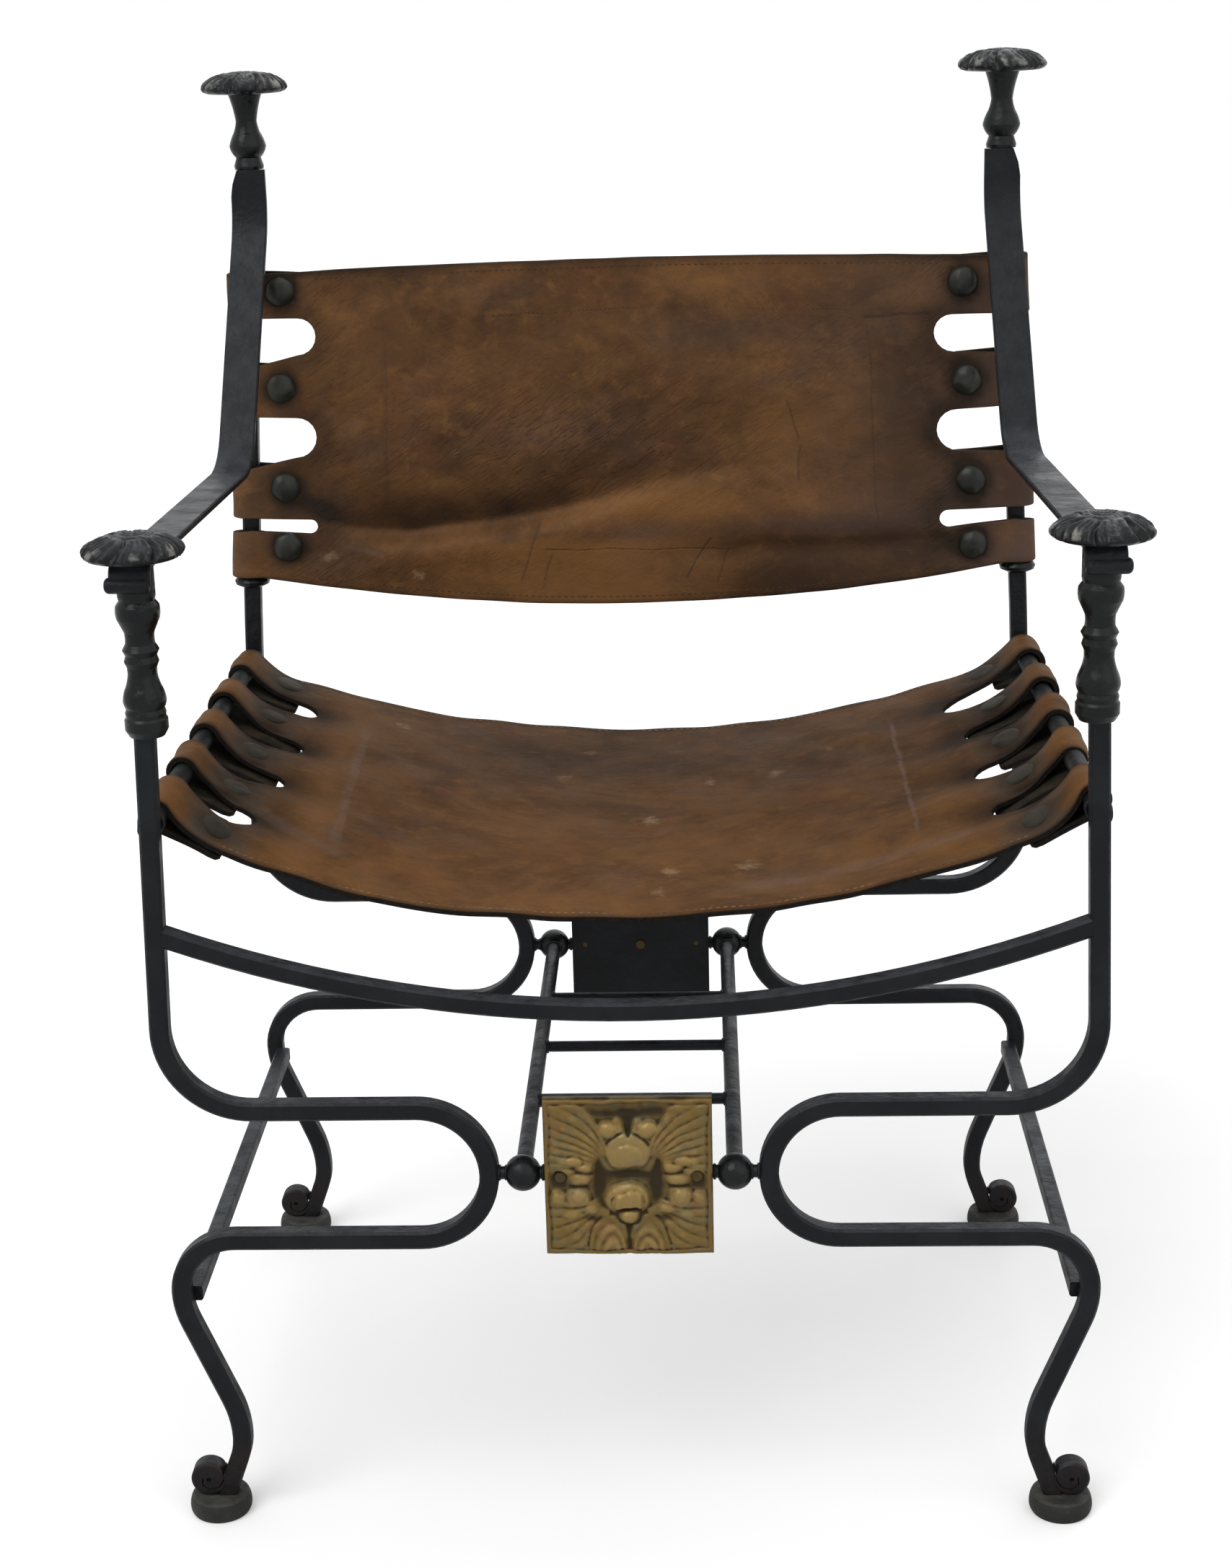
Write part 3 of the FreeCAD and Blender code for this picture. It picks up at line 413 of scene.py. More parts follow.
def seatProfile(middle, radius, sling):
    # outer face of half the seat: sag, hollow of the tab, loop, flap
    rail, loop = sling["rail"], sling["loop"]
    tilt = math.asin(sling["sheetReach"] / radius)
    leave = (radius * math.sin(tilt), middle + radius - radius * math.cos(tilt))
    offset = (rail[0] - leave[0], rail[1] - leave[1])
    toward = -offset[0] * math.sin(tilt) + offset[1] * math.cos(tilt)
    hollow = (offset[0] ** 2 + offset[1] ** 2 - loop ** 2) / (2 * (loop + toward))
    pivot = (leave[0] - hollow * math.sin(tilt), leave[1] + hollow * math.cos(tilt))
    meet = math.degrees(math.atan2(rail[1] - pivot[1], rail[0] - pivot[0]))
    sag = arcPart((0, middle + radius), radius, -90, math.degrees(tilt) - 90)
    tab = arcPart(pivot, hollow, math.degrees(tilt) - 90, meet)
    return [sag, tab] + flapParts(rail, loop, meet, pivot, hollow, sling)


def backProfile(postX, sling):
    # outer face of half the back seen from above, with forward counted as up
    rail, loop = (postX, -sling["rearY"]), sling["loop"]
    middle = -sling["rearY"] + loop - sling["dish"]
    apart = rail[1] - middle
    radius = (rail[0] ** 2 + apart ** 2 - loop ** 2) / (2 * (loop + apart))
    center = (0, middle + radius)
    meet = math.degrees(math.atan2(rail[1] - center[1], rail[0]))
    return [arcPart(center, radius, -90, meet)] + flapParts(rail, loop, meet, center, radius, sling)


def bell(x, width):
    return np.exp(-(x / width) ** 2)


def spots(u, v, places):
    # soft spots: share, place across and its width, place along and its height
    return sum(share * bell(u - across, wide) * bell(v - along, high) for share, across, wide, along, high in places)


def ease(x, low, high):
    t = np.clip((x - low) / (high - low), 0.0, 1.0)
    return t * t * (3 - 2 * t)


def ripple(u, v, size, seed):
    # gentle unevenness: a few waves of about this length, running every way
    rng = random.Random(seed)
    total = 0
    for _ in range(6):
        way, phase, pitch = rng.uniform(0, math.pi), rng.uniform(0, 6.28), size * rng.uniform(0.65, 1.5)
        total = total + np.sin((u * math.cos(way) + v * math.sin(way)) * 6.28 / pitch + phase)
    return total / 3


class Hanging:
    # maps the flat pattern (u across from the middle, v along) onto the hung leather
    def __init__(self, ends, low, high, point, swell):
        self.ends, self.low, self.high, self.point, self.swell = ends, low, high, point, swell
        self.lengths = np.array([(a["length"] + b["length"]) / 2 for a, b in zip(*ends)])
        self.breaks = np.concatenate(([0.0], np.cumsum(self.lengths)))

    def bare(self, u, v):
        reach = np.abs(u)
        which = np.clip(np.searchsorted(self.breaks, reach, side="right") - 1, 0, len(self.lengths) - 1)
        share = (reach - self.breaks[which]) / self.lengths[which]
        blend = (v - self.low) / (self.high - self.low)
        across, up = np.zeros_like(reach), np.zeros_like(reach)
        for k, pair in enumerate(zip(*self.ends)):
            at = which == k
            first, second = [partPoints(part, share[at]) for part in pair]
            across[at] = first[0] + (second[0] - first[0]) * blend[at]
            up[at] = first[1] + (second[1] - first[1]) * blend[at]
        return self.point(np.where(u >= 0, across, -across), up, v)

    def normals(self, place, u, v):
        d = 0.0004
        across = place(u + d, v) - place(u - d, v)
        along = place(u, v + d) - place(u, v - d)
        square = np.cross(across, along)
        return square / np.linalg.norm(square, axis=1, keepdims=True)

    def swollen(self, u, v):
        return self.bare(u, v) + self.normals(self.bare, u, v) * self.swell(u, v)[:, None]

    def hung(self, u, v, h):
        return self.swollen(u, v) + self.normals(self.swollen, u, v) * h[:, None]

    def hang(self, bm, paints=()):
        flat = np.array([vert.co for vert in bm.verts])
        u, v = flat[:, 0], flat[:, 1]
        layers = [(bm.verts.layers.float.new(name), paint(u, v)) for name, paint in dict(paints).items()]
        for k, (vert, place) in enumerate(zip(bm.verts, self.hung(u, v, flat[:, 2]))):
            vert.co = place
            for layer, values in layers:
                vert[layer] = values[k]

    def spot(self, u, v):
        # place and outward direction of one point of the outer face
        u, v = np.array([u]), np.array([v])
        return Vector(self.swollen(u, v)[0]), Vector(self.normals(self.swollen, u, v)[0])

    def across(self, x):
        # flat place of a point of the sheet at that reach
        low, high = 0.0, self.breaks[-3]
        v = np.array([(self.low + self.high) / 2])
        while high - low > 1e-6:
            middle = (low + high) / 2
            low, high = (middle, high) if self.bare(np.array([middle]), v)[0, 0] < x else (low, middle)
        return low


def roundEnd(inner, low, high, steps=10):
    # the round inner end of a slot, from its lower lip to its upper lip
    radius, mid = (high - low) / 2, (low + high) / 2
    angles = [math.pi * (1.5 - k / steps) for k in range(steps + 1)]
    return [(inner + radius + radius * math.cos(a), mid + radius * math.sin(a)) for a in angles]


def tabEnd(end, low, high, corner):
    return [(end - corner, low), (end - corner * 0.3, low + corner * 0.3), (end, low + corner),
            (end, high - corner), (end - corner * 0.3, high - corner * 0.3), (end - corner, high)]


def cutLeather(outline, slab):
    # flat slab with rounded lips and the seam between its two layers
    bm = bmesh.new()
    face = bm.faces.new([bm.verts.new((u, v, 0.0)) for u, v in outline])
    face.normal_update()
    if face.normal.z < 0:
        face.normal_flip()
    grown = bmesh.ops.extrude_face_region(bm, geom=[face])
    low = [g for g in grown["geom"] if isinstance(g, bmesh.types.BMVert)]
    bmesh.ops.translate(bm, verts=low, vec=(0, 0, -slab["thickness"]))
    bmesh.ops.recalc_face_normals(bm, faces=bm.faces[:])
    half = -slab["thickness"] / 2
    bmesh.ops.bisect_plane(bm, geom=bm.verts[:] + bm.edges[:] + bm.faces[:], plane_co=(0, 0, half), plane_no=(0, 0, 1))
    ring = [e for e in bm.edges if all(abs(v.co.z - half) < 1e-7 for v in e.verts)]
    bmesh.ops.bevel(bm, geom=ring, offset=slab["seam"], segments=2, profile=0.5, affect="EDGES", material=-1)
    bm.normal_update()
    for vert in [v for v in bm.verts if abs(v.co.z - half) < 1e-6]:
        vert.co -= Vector((vert.normal.x, vert.normal.y, 0)).normalized() * slab["seam"]
    lips = [e for e in bm.edges if abs(e.verts[0].co.z - e.verts[1].co.z) < 1e-7
            and (abs(e.verts[0].co.z) < 1e-7 or abs(e.verts[0].co.z + slab["thickness"]) < 1e-7)]
    bmesh.ops.bevel(bm, geom=lips, offset=slab["lip"], segments=2, profile=0.5, affect="EDGES", material=-1)
    for axis, cuts in ((Vector((1, 0, 0)), slab["uCuts"]), (Vector((0, 1, 0)), slab["vCuts"])):
        for at in cuts:
            bmesh.ops.bisect_plane(bm, geom=bm.verts[:] + bm.edges[:] + bm.faces[:],
                                   plane_co=axis * at, plane_no=axis, dist=1e-6)
    bm.normal_update()
    layer = bm.loops.layers.uv.new("flat")
    for face in bm.faces:
        face.material_index = 0 if face.normal.z > 0.8 else 2 if face.normal.z < -0.8 else 1
        for loop in face.loops:
            loop[layer].uv = loop.vert.co.xy
    return bm


def stations(low, high, pitch):
    count = max(1, round((high - low) / pitch))
    return [low + (high - low) * k / count for k in range(count + 1)]


def halfCuts(hanging, coarse, fine, extra):
    cuts = stations(0, hanging.breaks[1], coarse)
    ends = list(hanging.breaks[1:-1]) + [hanging.breaks[-1] + extra]
    for a, b in zip(ends, ends[1:]):
        cuts += stations(a, b, fine)[1:]
    return sorted(set(cuts[:-1] + [-c for c in cuts[:-1]]))


def stitches(rows, thread):
    # short stitches laid flat along rows of (u, v) points
    bm = bmesh.new()
    rng = random.Random(thread["seed"])
    for row in rows:
        spare = 0.0
        for start, end in zip(row, row[1:]):
            way = Vector(end) - Vector(start)
            turn = Matrix.Rotation(math.atan2(way.y, way.x), 4, "Z")
            at = spare
            while at < way.length:
                mid = Vector(start) + way.normalized() * at
                skew = Matrix.Rotation(rng.uniform(-0.16, 0.16), 4, "Z")
                size = Matrix.Diagonal((thread["long"] / 2 * rng.uniform(0.85, 1.1), thread["thick"] / 2,
                                        thread["thick"] / 2, 1))
                place = Matrix.Translation((mid.x, mid.y, thread["rise"]))
                bmesh.ops.create_uvsphere(bm, u_segments=6, v_segments=4, radius=1.0, matrix=place @ turn @ skew @ size)
                at += thread["pitch"]
            spare = at - way.length
    return bm


# each side's list runs from the front tab to the rear one: how far its flap reaches beyond the cut of
# the others, and how wide the slots between the flaps end
seatSling = {
    "rail": (303.4 * mm, 506 * mm), "loop": 11.3 * mm, "sheetReach": 262 * mm, "flapReach": 266 * mm,
    "flapGap": 3.5 * mm, "front": (-192 * mm, 430 * mm, 690 * mm), "rear": (196 * mm, 446 * mm, 790 * mm),
    "slots": [(-119 + 83 * k) * mm for k in range(4)], "slotHalf": 20 * mm, "slotStart": 283.4 * mm,
    "slotInner": {1: [246, 242, 244, 235], -1: [250, 243, 241, 242]},
    "slotRadius": {1: [11, 17, 12, 19], -1: [18, 12, 13, 15]}, "slotShift": {1: [0, -4, 0, -6], -1: [-6, 0, 0, 0]},
    "extra": {1: [0, 15, 2, 18, -14], -1: [0, -4, 14, 20, 4]},
    "endHalf": {1: [1, 8, 2, 17], -1: [7, 4, 3, 9]}, "flapHalf": 10 * mm,
    "hem": 5.5 * mm, "nailReach": 270 * mm,
    "thickness": 4 * mm, "seam": 0.3 * mm, "lip": 0.9 * mm,
}
seatTabs = [-165.5 * mm, -77.5 * mm, 5.5 * mm, 88.5 * mm, 173 * mm]


def seatSwell(u, v):
    # the sheet puckers between the tabs, and each tab is dished at its nail
    reach = np.abs(u)
    depth = 0.0013 * ripple(u, v, 0.16, 3) + 0.0005 * ripple(u, v, 0.05, 4)
    depth += (0.0016 * ease(reach, 0.18, 0.25) * np.cos(2 * math.pi * (v - 0.0055) / 0.083)
              * (1 - ease(reach, 0.3, 0.33)))
    flat = 1 - ease(reach, 0.2, 0.27)
    depth += 0.0016 * bell(v + 0.192, 0.03) * np.sin(u * 13 + 0.6) * flat
    depth -= 0.0014 * bell(v - 0.196, 0.03) * np.sin(u * 11) * flat
    for tab in seatTabs:
        depth -= 0.0014 * bell(v - tab, 0.02) * bell(reach - 0.277, 0.016)
        depth += 0.0009 * bell(v - tab, 0.035) * ripple(u, v, 0.04, 5) * ease(reach, 0.25, 0.28)
    return depth


def seatPoint(across, up, v):
    return np.stack([across, v, up], axis=-1)


seatHang = Hanging([seatProfile(h, r, seatSling) for _, h, r in (seatSling["front"], seatSling["rear"])],
                   seatSling["front"][0], seatSling["rear"][0], seatPoint, seatSwell)


def seatOutline(side):
    # one side's edge of the flat seat, from the front corner to the rear one
    look = seatSling
    start, turned = seatHang.across(look["slotStart"]), seatHang.breaks[-2]
    half, flapHalf = look["slotHalf"], look["flapHalf"]
    edge = []
    for k, extra in enumerate(look["extra"][side]):
        end = seatHang.breaks[-1] + extra * mm
        low = look["slots"][k - 1] + look["endHalf"][side][k - 1] * mm if k else seatHang.low + 1 * mm
        high = look["slots"][k] - look["endHalf"][side][k] * mm if k < 4 else seatHang.high - 1 * mm
        edge += tabEnd(end, low, high, 7 * mm)
        if k < 4:
            mid, radius = look["slots"][k], look["slotRadius"][side][k] * mm
            inner = seatHang.across(look["slotInner"][side][k] * mm)
            edge += [(turned + 8 * mm, mid - flapHalf), (turned - 9 * mm, mid - half), (start, mid - half)]
            end = mid + look["slotShift"][side][k] * mm
            edge += roundEnd(inner, end - radius, end + radius)
            edge += [(start, mid + half), (turned - 9 * mm, mid + half), (turned + 8 * mm, mid + flapHalf)]
    edge = [(seatHang.breaks[-3], seatHang.low)] + edge + [(seatHang.breaks[-3], seatHang.high)]
    return [(side * u, v) for u, v in edge]


def seatDirtAndShade(u, v):
    # darker along the edges, towards the rear and the right, round the slots' ends and lips, and in a ring round each
    # nail
    reach = np.abs(u)
    dark = 0.34 * bell(v - seatHang.high, 0.06) * (0.6 + 0.4 * np.sin(u * 9 + 1))
    dark += 0.75 * bell(v - seatHang.high, 0.005) + 0.55 * bell(v - seatHang.low, 0.003)
    dark += 0.12 * ease(reach, 0.20, 0.26) * (reach < seatHang.breaks[2])
    for side in (1, -1):
        for mid, inner in zip(seatSling["slots"], seatSling["slotInner"][side]):
            inner = seatHang.across(inner * mm)
            dark += 0.85 * bell(np.hypot((side * u - inner - 0.008) * 0.7, (v - mid)), 0.021)
            lip = np.abs(np.abs(v - mid) - seatSling["slotHalf"])
            dark += 0.60 * bell(lip, 0.0045) * ease(side * u, inner + 0.01, inner + 0.03)
    # the ring round each nail is painted shadow of the nail head as well as dirt
    for tab in seatTabs:
        ring = np.hypot(reach - seatHang.across(seatSling["nailReach"]), v - tab)
        dark += 0.45 * bell(ring - 0.012, 0.008)
    dark += spots(u, v, [(0.32, -0.055, 0.12, 0.11, 0.045)])
    dark += 0.20 * ease(u, -0.05, 0.12) * bell(v - 0.03, 0.11) + 0.12 * ease(v, -0.10, 0.06) * (reach < 0.25)
    return np.clip(dark, 0, 1)


def seatFilmAndSheen(u, v):
    # a grey film in the hollows of the tabs, away from the loops' golden tops: partly a dusty bloom, partly painted
    # sheen
    reach = np.abs(u)
    tabs = ease(reach, 0.245, 0.268) * (1 - ease(reach, 0.288, 0.306))
    filmAndSheen = 0.88 * tabs * (0.75 + 0.35 * ripple(u, v, 0.03, 8)) + spots(u, v, [(0.12, -0.06, 0.14, 0.10, 0.05)])
    return np.clip(filmAndSheen, 0, 1)


def seatGiltAndLight(u, v):
    # warmer, lighter colour on the loops' tops, painted light where they face up, and on the sheet beside the slots and
    # near the front
    reach = np.abs(u)
    tops = ease(reach, 0.296, 0.312) * (1 - ease(reach, seatHang.breaks[-2] - 0.012, seatHang.breaks[-2]))
    beside = bell(reach - 0.222, 0.018) * (0.55 - 0.25 * np.sign(u))
    giltAndLight = 0.26 * tops + beside * 0.7 + 0.18 * bell(v + 0.175, 0.03) + spots(u, v, [(0.25, 0, 0.13, -0.06, 0.06)])
    return np.clip(giltAndLight, 0, 1)


# pale rubbed spots: place across, place along, size
seatScuffs = [(-0.180, 0.148, 0.010), (-0.032, 0.140, 0.007), (0.036, 0.160, 0.006), (0.060, 0.060, 0.008),
              (0.108, 0.064, 0.011), (0.016, -0.012, 0.013), (0.032, -0.112, 0.011), (0.084, -0.112, 0.013),
              (0.024, -0.148, 0.010), (-0.052, 0.080, 0.010), (-0.115, -0.035, 0.006), (0.150, 0.100, 0.006)]


def seatScuffed(u, v):
    return np.clip(sum(bell(np.hypot((u - a) * 1.2, v - b), size * 1.3) for a, b, size in seatScuffs), 0, 1) * 0.60


def seatCreased(u, v):
    return 0.22 * bell(np.abs(u) - 0.24, 0.03) + 0.15 * bell(v - 0.1, 0.08)


seatEdge = seatOutline(1) + list(reversed(seatOutline(-1)))
seatBm = cutLeather(seatEdge, {**seatSling, "uCuts": halfCuts(seatHang, 6 * mm, 3 * mm, 21 * mm),
                               "vCuts": stations(seatHang.low, seatHang.high, 5.2 * mm)[1:-1]})
seatHang.hang(seatBm, {"dirtAndShade": seatDirtAndShade, "filmAndSheen": seatFilmAndSheen, "giltAndLight": seatGiltAndLight, "scuffed": seatScuffed,
                       "creased": seatCreased})
seatPiece = addPiece(seatBm, "seatLeather", [seatLeather, leatherEdge, leatherFlesh])
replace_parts(seatPiece, "seat_sling")

threadLook = {"long": 3.6 * mm, "thick": 1.0 * mm, "rise": 0.10 * mm, "pitch": 5.0 * mm, "seed": 5}
seatReach = seatHang.across(seatSling["sheetReach"])
seatRows = [[(-seatReach, v), (seatReach, v)]
            for v in (seatHang.low + seatSling["hem"], seatHang.high - seatSling["hem"])]
seatThread = stitches(seatRows, threadLook)
seatHang.hang(seatThread)
seatThreadPiece = addPiece(seatThread, "seatStitches", [waxedThread])
seatWide = 2 * seatHang.breaks[-1] + 20 * mm
seatSlotArea = 0.145 * 0.038
seatHang.high - seatHang.low
seatWide * (seatHang.high - seatHang.low) - 8 * seatSlotArea
print("seat sling hung")


# each slot: heights of its two lips at the inner end, then at the post; each nail: reach and height
backSling = {
    "rearY": 213 * mm, "loop": 15 * mm, "dish": 13.4 * mm, "flapReach": 246 * mm, "flapGap": 0.4 * mm,
    "top": 809.5 * mm, "crown": 4 * mm, "bottom": 574 * mm, "belly": 29.4 * mm, "corner": 285.04 * mm,
    "postLow": 301.35 * mm, "postHigh": 286.85 * mm, "nailReach": 264 * mm,
    "slots": {1: [(602.0, 616.0, 608.5, 618.0), (662.0, 694.0, 661.5, 697.0), (737.5, 766.0, 737.0, 766.5)],
              -1: [(608.0, 619.0, 612.0, 621.5), (668.0, 699.0, 661.0, 700.5), (747.0, 775.0, 739.0, 776.0)]},
    "slotReach": {1: 236 * mm, -1: 241.5 * mm},
    "nails": {1: [(260.5, 588.7), (260.7, 639.7), (260.0, 716.6), (259.4, 790.3)],
              -1: [(264.5, 598.0), (266.0, 645.0), (268.5, 722.5), (268.5, 796.0)]},
    "thickness": 4 * mm, "seam": 0.3 * mm, "lip": 0.9 * mm, "hem": 6 * mm,
    "foldDepth": 0.0125, "flapDrop": [10 * mm, 0, 0, 0],
    "fold": [(-0.26, 0.624), (-0.21, 0.609), (-0.174, 0.604), (-0.141, 0.6085), (-0.099, 0.6125), (-0.069, 0.617),
             (-0.027, 0.627), (0.0, 0.636), (0.042, 0.648), (0.126, 0.655), (0.26, 0.657)],
    "tuck": [(-0.1, 0.588), (0.069, 0.593), (0.099, 0.597), (0.156, 0.5965), (0.210, 0.599), (0.26, 0.607)],
}


def smoothLine(u, points):
    places, heights = zip(*points)
    return sum(np.interp(u + shift, places, heights) for shift in (-0.012, -0.006, 0.0, 0.006, 0.012)) / 5


def foldLine(u):
    # crease that climbs from the left slot to the middle and dies away
    return smoothLine(u, backSling["fold"])


def tuckLine(u):
    # second crease, from the right slot down to the hem
    return smoothLine(u, backSling["tuck"])


def foldShare(u):
    return 1 - 0.70 * ease(u, -0.07, 0.03) - 0.30 * ease(u, 0.03, 0.15)


def backSwell(u, v):
    # the sheet falls away backwards to a crease, below which the lower part stands forward
    reach = np.abs(u)
    inside = 1 - ease(reach, 0.185, 0.245)
    fold, tuck = foldLine(u), tuckLine(u)
    above = np.clip((v - fold) / (0.070 + 0.02 * np.sin(u * 6)), 0, 1)
    bag = np.where(v > fold, (1 - above) ** 1.8, 1 - ease(fold - v, 0.0, 0.014))
    depth = -backSling["foldDepth"] * bag * inside * foldShare(u)
    depth += 0.0022 * bell(v - fold + 0.020, 0.011) * inside * foldShare(u)
    tucked = 0.0045 * bell(v - tuck - 0.016, 0.016) - 0.0030 * bell(v - tuck + 0.010, 0.010)
    depth += ease(u, 0.0, 0.10) * inside * tucked
    depth += 0.0020 * ripple(u, v, 0.20, 11) + 0.0008 * ripple(u, v, 0.055, 12)
    slope = bell(v - 0.685, 0.05) * bell(u + 0.05, 0.13)
    depth += 0.0007 * slope * np.sin((v - u * 0.8) * 260 + 3 * np.sin(u * 40))
    depth += 0.0010 * bell(v - 0.70, 0.06) * np.sin(u * 22 + v * 60) * inside
    for height in (0.5935, 0.6425, 0.7195, 0.793):
        depth -= 0.0012 * bell(v - height, 0.014) * bell(reach - backSling["nailReach"], 0.016)
    return depth


def backPoint(across, up, v):
    return np.stack([across, -up, v], axis=-1)


backLow, backHigh = backSling["bottom"] - backSling["belly"], backSling["top"] + backSling["crown"]
backHang = Hanging([backProfile(x, backSling) for x in (backSling["postLow"], backSling["postHigh"])],
                   backLow, backHigh, backPoint, backSwell)


def edgeHeight(u, corner, middle):
    # height of the arc that forms the upper or lower edge
    return corner + (middle - corner) * np.clip(1 - (u / backSling["corner"]) ** 2, 0, 1)


def backOutline():
    end, corner = backHang.breaks[-1], 4 * mm
    sides = {}
    for side in (1, -1):
        low = backSling["bottom"]
        edge = []
        for k, (innerLow, innerHigh, postLow, postHigh) in enumerate(backSling["slots"][side] + [(0, 0, 0, 0)]):
            high = postLow * mm if postLow else backSling["top"]
            edge += tabEnd(end, low, high - backSling["flapDrop"][k], corner)
            if postLow:
                radius = (innerHigh - innerLow) / 2 * mm
                inner = backHang.across(backSling["slotReach"][side])
                edge += [(backHang.breaks[1], postLow * mm)] + roundEnd(inner, innerLow * mm, innerHigh * mm)
                edge += [(backHang.breaks[1], postHigh * mm)]
                low = postHigh * mm
        sides[side] = [(side * u, v) for u, v in edge]
    row = stations(-backSling["corner"], backSling["corner"], 12 * mm)
    top = [(u, edgeHeight(u, backSling["top"], backHigh)) for u in row]
    bottom = [(u, edgeHeight(u, backSling["bottom"], backLow)) for u in row]
    return sides[1] + list(reversed(top)) + list(reversed(sides[-1])) + bottom


def backDirtAndShade(u, v):
    # darker above the crease and in rings round the nails, painted shade there as well as dirt; darker too below the
    # tuck, along the edges and round the slots' ends
    reach = np.abs(u)
    fold, tuck = foldLine(u), tuckLine(u)
    inside = 1 - ease(reach, 0.235, 0.270)
    # painted shade above the crease, where the sheet falls away and faces down, with some dirt
    above = ease(v, fold - 0.003, fold + 0.004)
    dark = above * inside * foldShare(u) * (0.52 * bell(v - fold - 0.009, 0.016) + 0.34 * bell(v - fold - 0.020, 0.030))
    dark *= 0.85 + 0.25 * ripple(u, v, 0.05, 21)
    dark += 0.46 * ease(u, 0.04, 0.13) * (1 - ease(v, tuck - 0.004, tuck + 0.003)) * inside
    dark += 0.30 * ease(v, 0.780, 0.80) * ease(-u, 0.12, 0.2)
    dark += 0.70 * bell(v - edgeHeight(u, backSling["top"], backHigh), 0.0035)
    dark += 0.50 * bell(v - edgeHeight(u, backSling["bottom"], backLow), 0.0025)
    dark += 0.22 * ease(u, 0.14, 0.25) * (v > tuck) + 0.24 * ease(u, 0.16, 0.22) * bell(v - 0.68, 0.06)
    dark += spots(u, v, [(0.30, 0.215, 0.03, 0.768, 0.006), (0.30, 0.085, 0.055, 0.757, 0.014)])
    for word in (1, -1):
        for far, height in backSling["nails"][word]:
            # ring round each nail: painted shadow of the nail head and dirt
            ring = np.hypot(u - word * backHang.across(far * mm), v - height * mm)
            dark += 0.85 * bell(ring - 0.0105, 0.0055)
        for innerLow, innerHigh, _, _ in backSling["slots"][word]:
            mid = (innerLow + innerHigh) / 2 * mm
            ring = np.hypot(u - word * (backHang.across(backSling["slotReach"][word]) + 0.012), v - mid)
            dark += 0.40 * bell(ring - 0.018, 0.009)
    return np.clip(dark, 0, 1)


def backFilm(u, v):
    # a mauve bloom on the tabs, above the tuck and at the left end of the lower strip
    reach = np.abs(u)
    filmAndSheen = 0.45 * ease(reach, 0.215, 0.262) * (0.6 + 0.5 * ripple(u, v, 0.04, 22)) * (0.7 + 0.3 * np.sign(u))
    filmAndSheen += 0.55 * bell(v - tuckLine(u) - 0.009, 0.009) * ease(u, 0.03, 0.12) + 0.30 * ease(u, 0.10, 0.2)
    filmAndSheen += spots(u, v, [(0.50, 0.01, 0.035, 0.603, 0.008), (0.45, 0.085, 0.055, 0.757, 0.012),
                         (0.25, -0.06, 0.06, 0.682, 0.020), (0.45, -0.225, 0.03, 0.585, 0.012)])
    return np.clip(filmAndSheen, 0, 0.85)


def backGiltAndLight(u, v):
    # warmer, lighter colour: on the ledge below the crease and on the lower strip it is painted light where they face
    # up; the upper hem and a few worn places have the leather's own warmer tone
    giltAndLight = spots(u, v, [(1.0, 0.030, 0.065, 0.622, 0.019), (0.60, 0.13, 0.035, 0.682, 0.016),
                        (0.30, -0.10, 0.10, 0.645, 0.02)])
    giltAndLight += 0.75 * bell(u + 0.03, 0.13) * (1 - ease(v, 0.592, 0.602)) * foldShare(u - 0.06)
    giltAndLight += 0.30 * ease(u, -0.05, 0.1) * ease(v, 0.785, 0.80)
    return np.clip(giltAndLight, 0, 1)


def backCreased(u, v):
    creased = spots(u, v, [(1.1, -0.05, 0.12, 0.672, 0.045), (0.35, 0.15, 0.05, 0.74, 0.03),
                           (0.4, -0.19, 0.07, 0.575, 0.015)])
    return np.clip(creased + 0.5 * bell(np.abs(u) - 0.235, 0.02), 0, 1)


def backScuffed(u, v):
    upper = 0.62 * bell(np.hypot(u + 0.232, (v - 0.590) * 1.6), 0.014)
    return upper + 0.5 * bell(np.hypot(u + 0.165, v - 0.571), 0.012)


# the cuts lie closer between these two heights, where the sheet is creased
fineLow, fineHigh = 0.588, 0.665
vCuts = sorted(set(stations(backLow, fineLow, 4.0 * mm) + stations(fineLow, fineHigh, 2.8 * mm)
                   + stations(fineHigh, backHigh, 4.5 * mm)))
backBm = cutLeather(backOutline(), {**backSling, "uCuts": halfCuts(backHang, 6 * mm, 3 * mm, 0.0),
                                    "vCuts": vCuts[1:-1]})
backHang.hang(backBm, {"dirtAndShade": backDirtAndShade, "filmAndSheen": backFilm, "giltAndLight": backGiltAndLight, "scuffed": backScuffed,
                       "creased": backCreased})
backPiece = addPiece(backBm, "backLeather", [backLeather, leatherLip, leatherFlesh])
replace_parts(backPiece, "back_sling")

row = stations(-0.24, 0.24, 20 * mm)
backRows = [[(u, edgeHeight(u, backSling["top"], backHigh) - backSling["hem"]) for u in row],
            [(u, edgeHeight(u, backSling["bottom"], backLow) + backSling["hem"]) for u in row]]
backThread = stitches(backRows, {**threadLook, "long": 3.0 * mm, "thick": 0.8 * mm, "seed": 9})
backHang.hang(backThread)
darkThread = threadFinish("darkThread", (0.085, 0.048, 0.024))
backThreadPiece = addPiece(backThread, "backStitches", [darkThread])
print("back sling hung")


# Dome nails, hammered a little out of true: those of the seat are beaten flat

nailLook = {"back": {"radius": 11.4 * mm, "height": 6.6 * mm, "flat": 0.96, "finish": nailIron},
            "seat": {"radius": 11.6 * mm, "height": 3.4 * mm, "flat": 0.66, "finish": flatNailIron}}


